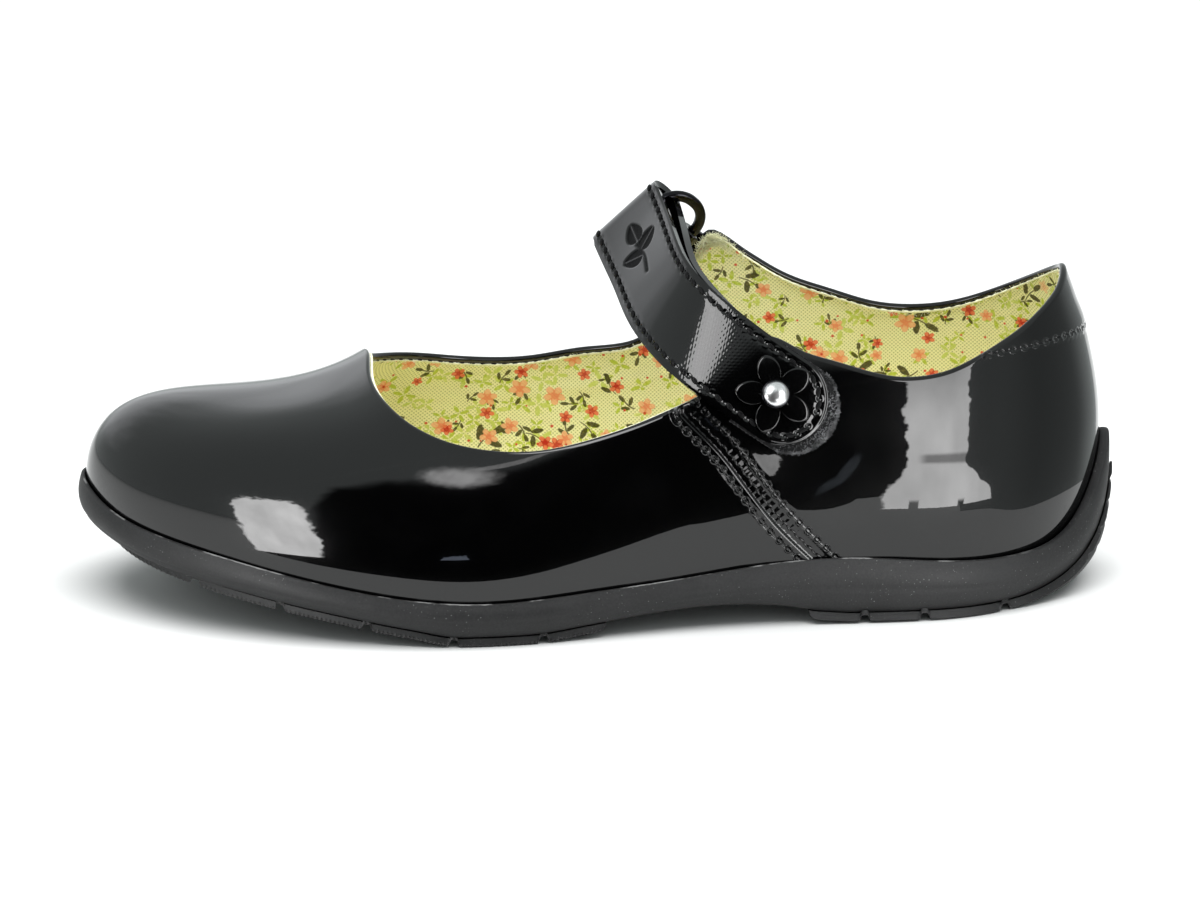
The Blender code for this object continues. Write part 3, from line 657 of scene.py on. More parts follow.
    @staticmethod
    def bead(length: float, width: float, height: float, segments: int = 8,
             rings: int = 6) -> bpy.types.Object:
        """Models one rounded bead, long in X, at the origin.

        Args:
            length: Length in millimetres.
            width: Width in millimetres.
            height: Height in millimetres.
            segments: Faces round it.
            rings: Faces along it.

        Returns:
            The bead.
        """
        Bench.clear()
        bpy.ops.mesh.primitive_uv_sphere_add(segments=segments, ring_count=rings, radius=MM / 2)
        piece = Bench.named("bead")
        bpy.ops.object.mode_set(mode="EDIT")
        bpy.ops.mesh.select_all(action="SELECT")
        bpy.ops.transform.resize(value=(width, height, length), orient_type="GLOBAL")
        bpy.ops.object.mode_set(mode="OBJECT")
        turned = Bench.read(piece)[:, [2, 0, 1]]
        piece.data.vertices.foreach_set("co", np.ascontiguousarray(turned).ravel())
        return piece

    @staticmethod
    def settle(piece: bpy.types.Object, slot: str, finishes: list[bpy.types.Material],
               stands_for: tuple[str, ...] = ()) -> None:
        """Dresses a finished piece and fixes it to the shoe.

        Args:
            piece: The piece.
            slot: The record's material slot; it is not used.
            finishes: Materials in the order of the mesh's own material numbers.
            stands_for: Solids that the piece is shown instead of.
        """
        piece.data.materials.clear()
        for finish in finishes:
            piece.data.materials.append(finish)
        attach(piece, BODY)
        if stands_for:
            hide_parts(*stands_for)
        log.info("%s: %d faces", piece.name, len(piece.data.polygons))


@dataclass(frozen=True)
class Field:
    """A number that varies over a surface, as a shader socket that can be reckoned with."""

    graph: "Graph"
    socket: bpy.types.NodeSocket

    def __add__(self, other: "Value") -> "Field":
        """Sum."""
        return self.graph.math("ADD", self, other)

    def __sub__(self, other: "Value") -> "Field":
        """Difference."""
        return self.graph.math("SUBTRACT", self, other)

    def __mul__(self, other: "Value") -> "Field":
        """Product."""
        return self.graph.math("MULTIPLY", self, other)

    def __truediv__(self, other: "Value") -> "Field":
        """Quotient."""
        return self.graph.math("DIVIDE", self, other)

    def do(self, operation: str, *others: "Value") -> "Field":
        """Any other operation of the Math node."""
        return self.graph.math(operation, self, *others)


Value = Field | float
Colour = tuple[float, float, float]
BLACK: Colour = (0.0, 0.0, 0.0)
WHITE: Colour = (1.0, 1.0, 1.0)


class Graph:
    """One material's nodes, written as short expressions."""

    def __init__(self, name: str) -> None:
        """Starts a material with one Principled shader.

        Args:
            name: The material's name.
        """
        self.material = bpy.data.materials.new(name)
        self.material.use_nodes = True
        self.tree = self.material.node_tree
        self.shader = self.tree.nodes["Principled BSDF"]

    def node(self, kind: str, **settings: object) -> bpy.types.Node:
        """Adds a node with these settings.

        Args:
            kind: The node's type.
            settings: Its settings by name.

        Returns:
            The node.
        """
        made = self.tree.nodes.new(kind)
        for name, value in settings.items():
            setattr(made, name, value)
        return made

    def wire(self, value: object, socket: bpy.types.NodeSocket) -> None:
        """Gives a socket a number, a colour, a field or another socket.

        Args:
            value: What the socket gets.
            socket: The socket.
        """
        if isinstance(value, Field):
            self.tree.links.new(value.socket, socket)
        elif isinstance(value, bpy.types.NodeSocket):
            self.tree.links.new(value, socket)
        elif isinstance(value, tuple) and len(value) == 3 and len(socket.default_value) == 4:
            socket.default_value = (*value, 1.0)
        else:
            socket.default_value = value

    def set(self, **values: object) -> None:
        """Sets the shader's sockets, named with _ for a space."""
        for name, value in values.items():
            self.wire(value, self.shader.inputs[name.replace("_", " ")])

    def matt(self, colour: Colour, **values: object) -> None:
        """Sets the shader to a colour without any gloss, and these sockets besides."""
        self.set(Base_Color=colour, Roughness=1.0, Specular_IOR_Level=0.0, **values)

    def math(self, operation: str, *values: Value) -> Field:
        """Result of a Math node.

        Args:
            operation: The node's operation.
            values: What it works on.

        Returns:
            The result.
        """
        made = self.node("ShaderNodeMath", operation=operation)
        for value, socket in zip(values, made.inputs):
            self.wire(value, socket)
        return Field(self, made.outputs[0])

    def smooth(self, value: Value, low: float, high: float) -> Field:
        """A smooth rise from 0 at low to 1 at high, or a fall where low is over high.

        Args:
            value: What is looked at.
            low: Where the result is 0.
            high: Where it is 1.

        Returns:
            The result.
        """
        made = self.node("ShaderNodeMapRange", interpolation_type="SMOOTHSTEP", clamp=True)
        for number, given in enumerate((value, min(low, high), max(low, high))):
            self.wire(given, made.inputs[number])
        if low > high:
            made.inputs[3].default_value, made.inputs[4].default_value = 1.0, 0.0
        return Field(self, made.outputs[0])

    def mix(self, share: Value, first: object, second: object) -> bpy.types.NodeSocket:
        """Colour between two colours.

        Args:
            share: How much there is of the second colour.
            first: The first colour.
            second: The second colour.

        Returns:
            The mixed colour.
        """
        made = self.node("ShaderNodeMix", data_type="RGBA")
        self.wire(share, made.inputs[0])
        self.wire(first, made.inputs[6])
        self.wire(second, made.inputs[7])
        return made.outputs[2]

    def vector(self, x: Value, y: Value, z: Value = 0.0) -> bpy.types.NodeSocket:
        """Three numbers as one vector.

        Args:
            x: The first number.
            y: The second.
            z: The third.

        Returns:
            The vector.
        """
        made = self.node("ShaderNodeCombineXYZ")
        for value, socket in zip((x, y, z), made.inputs):
            self.wire(value, socket)
        return made.outputs[0]

    def parts(self, vector: bpy.types.NodeSocket) -> tuple[Field, Field, Field]:
        """A vector as three numbers.

        Args:
            vector: The vector.

        Returns:
            Its numbers.
        """
        made = self.node("ShaderNodeSeparateXYZ")
        self.wire(vector, made.inputs[0])
        x, y, z = (Field(self, output) for output in made.outputs)
        return x, y, z

    def object_place(self) -> bpy.types.NodeSocket:
        """Place on the shoe in metres."""
        return self.node("ShaderNodeTexCoord").outputs["Object"]

    def mark(self, name: str) -> bpy.types.NodeSocket:
        """A vector that the piece's points carry."""
        return self.node("ShaderNodeAttribute", attribute_name=name).outputs["Vector"]

    def cloth_place(self) -> bpy.types.NodeSocket:
        """Place on the flat cloth in millimetres."""
        return self.node("ShaderNodeUVMap", uv_map="UVMap").outputs[0]

    def noise(self, place: bpy.types.NodeSocket, size: float, detail: float = 2.0,
              stretch: tuple[float, float, float] = (1.0, 1.0, 1.0)) -> Field:
        """Cloudy noise from 0 to 1.

        Args:
            place: Coordinates in metres.
            size: Size of the clouds in millimetres.
            detail: How many finer layers it has.
            stretch: How often it repeats along each axis, against the others.

        Returns:
            The noise.
        """
        spread = self.node("ShaderNodeMapping", vector_type="POINT")
        self.wire(place, spread.inputs[0])
        spread.inputs["Scale"].default_value = stretch
        made = self.node("ShaderNodeTexNoise")
        self.wire(spread.outputs[0], made.inputs["Vector"])
        made.inputs["Scale"].default_value = 1 / (size * MM)
        made.inputs["Detail"].default_value = detail
        return Field(self, made.outputs[0])

    def cells(self, place: bpy.types.NodeSocket, pitch: float, scatter: float = 1.0,
              flat: bool = False) -> bpy.types.Node:
        """Scattered cells at this spacing, in the units of the place.

        Args:
            place: Coordinates.
            pitch: Spacing of the cells.
            scatter: How far they stray from a regular grid, 0 to 1.
            flat: Whether they lie in two dimensions.

        Returns:
            The node, for its several outputs.
        """
        made = self.node("ShaderNodeTexVoronoi", voronoi_dimensions="2D" if flat else "3D")
        self.wire(place, made.inputs["Vector"])
        made.inputs["Scale"].default_value = 1 / pitch
        made.inputs["Randomness"].default_value = scatter
        return made

    def bump(self, height: Field) -> bpy.types.NodeSocket:
        """Surface direction over a relief whose height is in millimetres.

        Args:
            height: The relief.

        Returns:
            The direction.
        """
        made = self.node("ShaderNodeBump")
        made.inputs["Distance"].default_value = MM
        self.wire(height, made.inputs["Height"])
        return made.outputs[0]


@dataclass(frozen=True)
class SewnRow:
    """A row of stitch holes beside a seam whose chart the piece carries."""

    chart: str
    aside: float
    pitch: float
    hole: float = 0.26       # depth
    rim: float = 0.16        # height of the puckered rim


@dataclass(frozen=True)
class PatentLeather:
    """Black leather under a clear lacquer that is glassy but not quite flat."""

    name: str = "patent"
    base: Colour = (0.0006, 0.0006, 0.0007)
    wave_size: float = 13.0
    wave_height: float = 0.030
    peel_size: float = 1.3
    peel_height: float = 0.0014
    cloud_size: float = 9.0      # of the faint clouds in tone and roughness under the lacquer
    drift: float = 0.0       # height of the dashes in a textured panel
    rows: tuple[SewnRow, ...] = ()
    press: str = ""          # chart of the depth of a pressed mark, and of the textured panel

    def sewn(self, g: Graph, row: SewnRow) -> Field:
        """Relief of one row of stitch holes, in millimetres.

        Args:
            g: The material's nodes.
            row: The row.

        Returns:
            The relief.
        """
        along, aside, _ = g.parts(g.mark(row.chart))
        place = ((along / row.pitch + 0.5).do("FRACT") - 0.5) * (row.pitch * 0.85)
        across = aside - row.aside
        radius = (place * place + across * across).do("SQRT")
        hole = g.smooth(radius, 0.46, 0.24)
        rim = g.smooth(radius, 0.86, 0.66) * g.smooth(radius, 0.44, 0.62)
        waist = g.smooth(across.do("ABSOLUTE"), 0.34, 0.12)
        return rim * row.rim - hole * row.hole - waist * (row.hole * 0.35)

    def dashes(self, g: Graph, place: bpy.types.NodeSocket) -> Field:
        """Relief of the short dashes in the strap's textured panel, in millimetres.

        Args:
            g: The material's nodes.
            place: Place on the shoe.

        Returns:
            The relief.
        """
        x, y, z = g.parts(place)
        run = (x * 0.62 - z * 0.78 + y * 0.2) / MM
        cross = (x * 0.78 + z * 0.62) / MM
        dashes = (run * 10.5).do("SINE") * ((cross * 7.6 + run * 1.5).do("SINE") * 0.6 + 0.4)
        return dashes * g.parts(g.mark(self.press))[1] * self.drift

    def make(self) -> bpy.types.Material:
        """Makes the material.

        Returns:
            The material.
        """
        g = Graph(self.name)
        place = g.object_place()
        height = g.noise(place, self.wave_size, 1.0) * self.wave_height
        height = height + g.noise(place, self.peel_size, 2.0) * self.peel_height
        if self.drift:
            height = height + self.dashes(g, place)
        for row in self.rows:
            height = height + self.sewn(g, row)
        cloud = g.smooth(g.noise(place, self.cloud_size, 4.0), 0.45, 0.75)
        gloss, roughness, tone = 1.0, cloud * 0.10 + 0.22, cloud * 0.5
        if self.press:
            pressed = g.parts(g.mark(self.press))[0]
            grain = g.noise(place, 0.28, 2.0)
            height = height + pressed * grain * 0.10
            gloss = pressed * -0.93 + 1.0
            roughness = roughness + pressed * 0.25
        normal = g.bump(height)
        g.set(Base_Color=g.mix(tone, self.base, tuple(c * 1.8 for c in self.base)),
              Roughness=roughness, Specular_IOR_Level=0.04, Coat_Weight=gloss,
              Coat_Roughness=0.015, Coat_IOR=1.52, Normal=normal, Coat_Normal=normal)
        return g.material


@dataclass(frozen=True)
class MouldedRubber:
    """Matt black sole rubber with a fine grain and pale dust."""

    name: str = "sole_rubber"
    base: Colour = (0.0155, 0.0155, 0.016)
    dust: Colour = (0.22, 0.22, 0.22)
    dust_pitch: float = 0.55
    cloud_size: float = 7.0
    grain_size: float = 0.42
    grain_height: float = 0.024
    swell_size: float = 2.2
    swell_height: float = 0.010
    shades: tuple[float, float] = (0.70, 1.22)   # darkest and palest share of the base
    lip_line: str = ""          # chart of the distance from the lip's inner edge, along which a pale line is painted
    lip_line_half: float = 0.17         # half width of the pale broken line painted along that edge
    lip_line_end: tuple[float, float] = (0.084, 0.074)  # x in metres where it is gone, and whole

    def make(self) -> bpy.types.Material:
        """Makes the material.

        Returns:
            The material.
        """
        g = Graph(self.name)
        place = g.object_place()
        cells = g.cells(place, self.dust_pitch * MM)
        tint = g.parts(cells.outputs["Color"])
        pale_marks = (g.smooth(Field(g, cells.outputs["Distance"]), 0.22, 0.08) * g.smooth(tint[0], 0.40, 0.60)
                 * g.smooth(g.noise(place, 10.0, 3.0), 0.44, 0.60) * tint[1])    # pale grains, in drifts
        # A pale broken line is painted along the lip's inner edge, in the grains' pale colour, and fades out
        # toward the heel.
        if self.lip_line:
            reach, _, _ = g.parts(g.mark(self.lip_line))
            heelward, _, _ = g.parts(place)
            broken = g.smooth(g.noise(place, 6.0, 5.0), 0.50, 0.62) * g.smooth(heelward, *self.lip_line_end)
            crumbs = (g.noise(place, 0.8, 2.0) - 0.5) * 0.2
            line = g.smooth((reach + crumbs).do("ABSOLUTE"), self.lip_line_half, 0.06)
            pale_marks = pale_marks.do("MAXIMUM", line * broken)
        cloud = g.smooth(g.noise(place, self.cloud_size, 4.0), 0.3, 0.75)
        fine = g.noise(place, self.grain_size, 2.0)
        height = fine * self.grain_height + g.noise(place, self.swell_size, 2.0) * self.swell_height
        dark, pale = (tuple(c * shade for c in self.base) for shade in self.shades)
        tone = g.mix(g.smooth(cloud * 0.5 + fine * 1.3, 0.4, 1.4), dark, pale)
        g.set(Base_Color=g.mix(pale_marks, tone, self.dust), Roughness=cloud * 0.10 + 0.56,
              Specular_IOR_Level=0.36, Normal=g.bump(height))
        return g.material


@dataclass(frozen=True)
class CutEdge:
    """The pale grey fibre at the cut edge of coated leather."""

    name: str = "cut_edge"
    base: Colour = (0.34, 0.34, 0.35)
    dark: Colour = (0.06, 0.06, 0.062)

    def make(self) -> bpy.types.Material:
        """Makes the material.

        Returns:
            The material.
        """
        g = Graph(self.name)
        place = g.object_place()
        fuzz = g.noise(place, 0.45, 3.0)
        patch = g.smooth(g.noise(place, 2.4, 2.0), 0.34, 0.62)
        g.set(Base_Color=g.mix(patch * g.smooth(fuzz, 0.25, 0.6), self.dark, self.base),
              Roughness=0.75, Specular_IOR_Level=0.3, Normal=g.bump(fuzz * 0.10))
        return g.material


@dataclass(frozen=True)
class SewingThread:
    """Black bonded thread with a slight sheen and its twist."""

    name: str = "thread"
    base: Colour = (0.0035, 0.0035, 0.004)
    twist: float = 0.42

    def make(self) -> bpy.types.Material:
        """Makes the material.

        Returns:
            The material.
        """
        g = Graph(self.name)
        x, y, z = g.parts(g.object_place())
        ply = ((x + z * 1.3 + y * 0.7) * (2 * math.pi / (self.twist * MM))).do("SINE")
        g.set(Base_Color=g.mix(g.smooth(ply, -0.8, 0.9), tuple(c * 0.5 for c in self.base), self.base),
              Roughness=0.42, Specular_IOR_Level=0.16, Sheen_Weight=0.02, Sheen_Roughness=0.4,
              Normal=g.bump(ply * 0.03))
        return g.material


@dataclass(frozen=True)
class HookAndLoop:
    """Black brushed loops with pale fibre ends."""

    name: str = "fleece"
    base: Colour = (0.006, 0.006, 0.0065)
    tip: Colour = (0.055, 0.055, 0.057)

    def make(self) -> bpy.types.Material:
        """Makes the material.

        Returns:
            The material.
        """
        g = Graph(self.name)
        place = g.object_place()
        curl = g.noise(place, 0.6, 4.0)
        g.set(Base_Color=g.mix(g.smooth(curl, 0.56, 0.68), self.base, self.tip), Roughness=0.85,
              Specular_IOR_Level=0.25, Sheen_Weight=0.12, Sheen_Roughness=0.5,
              Normal=g.bump(curl * 0.35))
        return g.material


@dataclass(frozen=True)
class Metal:
    """A bare or dark plated metal with faint rubbing marks."""

    name: str = "metal"
    base: Colour = (0.82, 0.82, 0.84)
    roughness: float = 0.10

    def make(self) -> bpy.types.Material:
        """Makes the material.

        Returns:
            The material.
        """
        g = Graph(self.name)
        place = g.object_place()
        rub = g.noise(place, 1.6, 2.0)
        g.set(Base_Color=g.mix(g.smooth(rub, 0.35, 0.7), tuple(c * 0.9 for c in self.base), self.base),
              Metallic=1.0, Roughness=rub * 0.04 + self.roughness, Normal=g.bump(rub * 0.0003))
        return g.material


class Motif(Enum):
    """What one scattered figure of the print is."""

    BLOSSOM = "blossom"
    SPRIG = "sprig"
    LEAVES = "leaves"
    DOT = "dot"


# Leaves of a printed figure: place along and beside its stem in its own sizes, and lean in radians.
SPRAYS = {
    Motif.SPRIG: ((0.9, 0.0, 0.0), (-0.1, 0.62, 1.0), (-0.35, -0.55, -0.8)),
    Motif.LEAVES: ((0.75, 0.25, 0.3), (-0.2, 0.75, 1.9), (-0.75, -0.2, 3.4), (0.25, -0.8, 4.9)),
}


@dataclass(frozen=True)
class Figure:
    """One kind of figure in the print, scattered over the cloth."""

    motif: Motif
    pitch: float            # spacing
    size: float
    share: float            # of the places that hold one
    shift: tuple[float, float]
    ink: Colour
    second: Colour


@dataclass(frozen=True)
class PrintedCotton:
    """Plain-woven cotton with a small printed pattern of sprays."""

    name: str = "printed_cotton"
    ground: Colour = (0.97, 0.955, 0.60)
    gaps: Colour = (0.50, 0.53, 0.38)    # share of the ground's colour between the threads
    thread: float = 0.80    # spacing of the weave
    weave_height: float = 0.035
    slub_height: float = 0.05
    ink_cover: float = 0.88      # how much of an ink shows between the threads
    figures: tuple[Figure, ...] = (
        Figure(Motif.LEAVES, 4.6, 1.35, 0.62, (0.0, 0.0), (0.50, 0.60, 0.05), (0.66, 0.72, 0.16)),
        Figure(Motif.LEAVES, 6.1, 1.60, 0.50, (8.4, 3.9), (0.62, 0.70, 0.16), (0.76, 0.80, 0.30)),
        Figure(Motif.SPRIG, 11.0, 2.30, 0.55, (2.2, 1.7), (0.050, 0.045, 0.006), (0.15, 0.12, 0.025)),
        Figure(Motif.SPRIG, 5.9, 1.30, 0.50, (3.1, 7.7), (0.060, 0.058, 0.008), (0.16, 0.13, 0.03)),
        Figure(Motif.BLOSSOM, 8.3, 1.75, 0.55, (1.7, 4.9), (0.88, 0.27, 0.13), (0.92, 0.50, 0.27)),
        Figure(Motif.BLOSSOM, 7.0, 1.35, 0.55, (9.3, 2.2), (0.58, 0.022, 0.010), (0.86, 0.20, 0.09)),
        Figure(Motif.DOT, 4.0, 0.50, 0.40, (5.1, 1.3), (0.62, 0.035, 0.015), (0.86, 0.30, 0.14)),
    )

    def rosette(self, g: Graph, a: Field, b: Field, ragged: Field, kind: Figure) -> tuple[Field, Field]:
        """A blossom or a dot.

        Args:
            g: The material's nodes.
            a: Place along the figure.
            b: Place across it.
            ragged: How far its edge strays.
            kind: The figure.

        Returns:
            How much of its ink lies at a place, and how much of that is the second ink.
        """
        radius = (a * a + b * b).do("SQRT") / kind.size + ragged * 0.35
        lobes = (b.do("ARCTAN2", a) * 2.5).do("COSINE").do("ABSOLUTE")
        edge = radius - lobes * (0.46 if kind.motif is Motif.BLOSSOM else 0.0)
        inner = g.smooth(radius + ragged * 0.4, 0.26, 0.46) * g.smooth(lobes, 0.2, 0.8)
        return g.smooth(edge, 0.62, 0.50), inner

    def spray(self, g: Graph, a: Field, b: Field, ragged: Field, kind: Figure) -> tuple[Field, Field]:
        """Oval leaves on a bent stem.

        Args:
            g: The material's nodes.
            a: Place along the figure.
            b: Place across it.
            ragged: How far its edge strays.
            kind: The figure.

        Returns:
            How much of its ink lies at a place, and how much of that is the second ink.
        """
        size = kind.size
        bend = b - a * a * (0.22 / size)
        stem = (g.smooth(bend.do("ABSOLUTE"), 0.17, 0.09)
                * g.smooth(a, -1.25 * size, -1.1 * size) * g.smooth(a, 0.9 * size, 0.7 * size))
        mask = stem * (0.9 if kind.motif is Motif.SPRIG else 0.5)
        for along, aside, lean in SPRAYS[kind.motif]:
            cos, sin = math.cos(lean), math.sin(lean)
            p = (a - along * size) * cos + (b - aside * size) * sin
            q = (b - aside * size) * cos - (a - along * size) * sin
            leaf = (p / (0.62 * size)).do("POWER", 2.0) + (q / (0.26 * size)).do("POWER", 2.0)
            mask = mask.do("MAXIMUM", g.smooth(leaf + ragged, 1.15, 0.75))
        return mask, g.smooth(ragged, 0.0, 0.18)

    def figure(self, g: Graph, x: Field, y: Field, kind: Figure) -> tuple[Field, Field]:
        """Scatters one figure.

        Args:
            g: The material's nodes.
            x: Place across the cloth.
            y: Place up the cloth.
            kind: The figure.

        Returns:
            How much of its ink lies at a place, and how much of that is the second ink.
        """
        ragged = (g.noise(g.vector(x * MM, y * MM), 0.7, 2.0) - 0.5) * 0.9
        x, y = x + kind.shift[0], y + kind.shift[1]
        cells = g.cells(g.vector(x, y), kind.pitch, 0.82, flat=True)
        middle = g.parts(cells.outputs["Position"])
        chance = g.parts(cells.outputs["Color"])
        dx, dy = x - middle[0], y - middle[1]
        turn = chance[0] * 2 * math.pi
        cos, sin = turn.do("COSINE"), turn.do("SINE")
        size = chance[2] * 0.5 + 0.75
        a, b = (dx * cos + dy * sin) / size, (dy * cos - dx * sin) / size
        draw = self.spray if kind.motif in SPRAYS else self.rosette
        mask, inner = draw(g, a, b, ragged, kind)
        return mask * g.smooth(chance[1], kind.share + 0.01, kind.share), inner

    def make(self) -> bpy.types.Material:
        """Makes the material.

        Returns:
            The material.
        """
        g = Graph(self.name)
        x, y, _ = g.parts(g.cloth_place())
        place = g.vector(x * MM, y * MM)
        wander = (g.noise(place, 14.0, 2.0) - 0.5) * 0.3
        warp = ((x + wander * 0.4) * (2 * math.pi / self.thread)).do("SINE")
        weft = ((y + wander * 0.4) * (2 * math.pi / self.thread)).do("SINE")
        checker = warp * weft
        slub = g.noise(place, 1.1, 3.0, (1.0, 5.0, 1.0))
        tone = g.smooth(checker, 0.70, 0.05)
        shade = tuple(c * k for c, k in zip(self.ground, self.gaps))
        colour = g.mix(tone * 0.85 + slub * 0.15, shade, self.ground)
        for kind in self.figures:
            mask, second = self.figure(g, x, y, kind)
            ink = g.mix(second, kind.ink, kind.second)
            colour = g.mix(mask * (tone * 0.08 + self.ink_cover), colour, ink)
        g.set(Base_Color=colour, Roughness=0.85, Specular_IOR_Level=0.25, Sheen_Weight=0.12,
              Sheen_Roughness=0.5, Normal=g.bump(checker * self.weave_height + slub * self.slub_height))
        return g.material


@dataclass(frozen=True)
class Finishes:
    """The materials of the shoe."""

    patent: bpy.types.Material
    sewn_patent: bpy.types.Material
    strap_patent: bpy.types.Material
    rubber: bpy.types.Material
    cup_rubber: bpy.types.Material
    cut_edge: bpy.types.Material
    thread: bpy.types.Material
    cotton: bpy.types.Material
    fray: bpy.types.Material
    fleece: bpy.types.Material
    steel: bpy.types.Material
    gunmetal: bpy.types.Material

    @classmethod
    def make(cls) -> "Finishes":
        """Makes every material once.

        Returns:
            The materials.
        """
        return cls(
            patent=PatentLeather().make(),
            sewn_patent=PatentLeather("sewn_patent", rows=(
                SewnRow("joint", 2.55, 2.55, 0.30, 0.20), SewnRow("joint", -2.70, 2.55, 0.30, 0.20),
                SewnRow("heel_seam", -0.95, 2.5, 0.26, 0.09))).make(),
            strap_patent=PatentLeather("strap_patent", wave_size=9.0, wave_height=0.02, drift=0.013,
                                       press="press").make(),
            rubber=MouldedRubber().make(),
            cup_rubber=MouldedRubber("cup_rubber", lip_line="lip").make(),
            cut_edge=CutEdge().make(),
            thread=SewingThread().make(),
            cotton=PrintedCotton().make(),
            fray=CutEdge("fray", (0.92, 0.92, 0.72), (0.74, 0.74, 0.50)).make(),
            fleece=HookAndLoop().make(),
            steel=Metal("steel", (0.92, 0.92, 0.93), 0.27).make(),
            gunmetal=Metal("gunmetal", (0.024, 0.024, 0.027), 0.12).make(),
        )


def facing(s: Array) -> Array:
    """The place on the other side of the foot that lies across from s."""
    s = np.asarray(s, float) % 100
    return np.where(s <= HEEL, 100 - (100 - HEEL) * s / HEEL, HEEL * (100 - s) / (100 - HEEL)) % 100


def stitch_relief(along: Array, aside: Array, pitch: float, depth: float) -> Array:
    """Puckers that a row of stitches pulls into a skin.

    Args:
        along: Distance along the row.
        aside: Distance from it.
        pitch: Spacing of the stitches.
        depth: Depth of the holes.

    Returns:
        Height of the skin, below 0 in a hole and above 0 on its rim.
    """
    wrapped = (along / pitch - np.round(along / pitch)) * pitch
    radius = np.hypot(wrapped, aside)
    return depth * (0.38 * bell(radius - 0.62, 0.22) - bell(radius, 0.40) - 0.35 * bell(aside, 0.5))


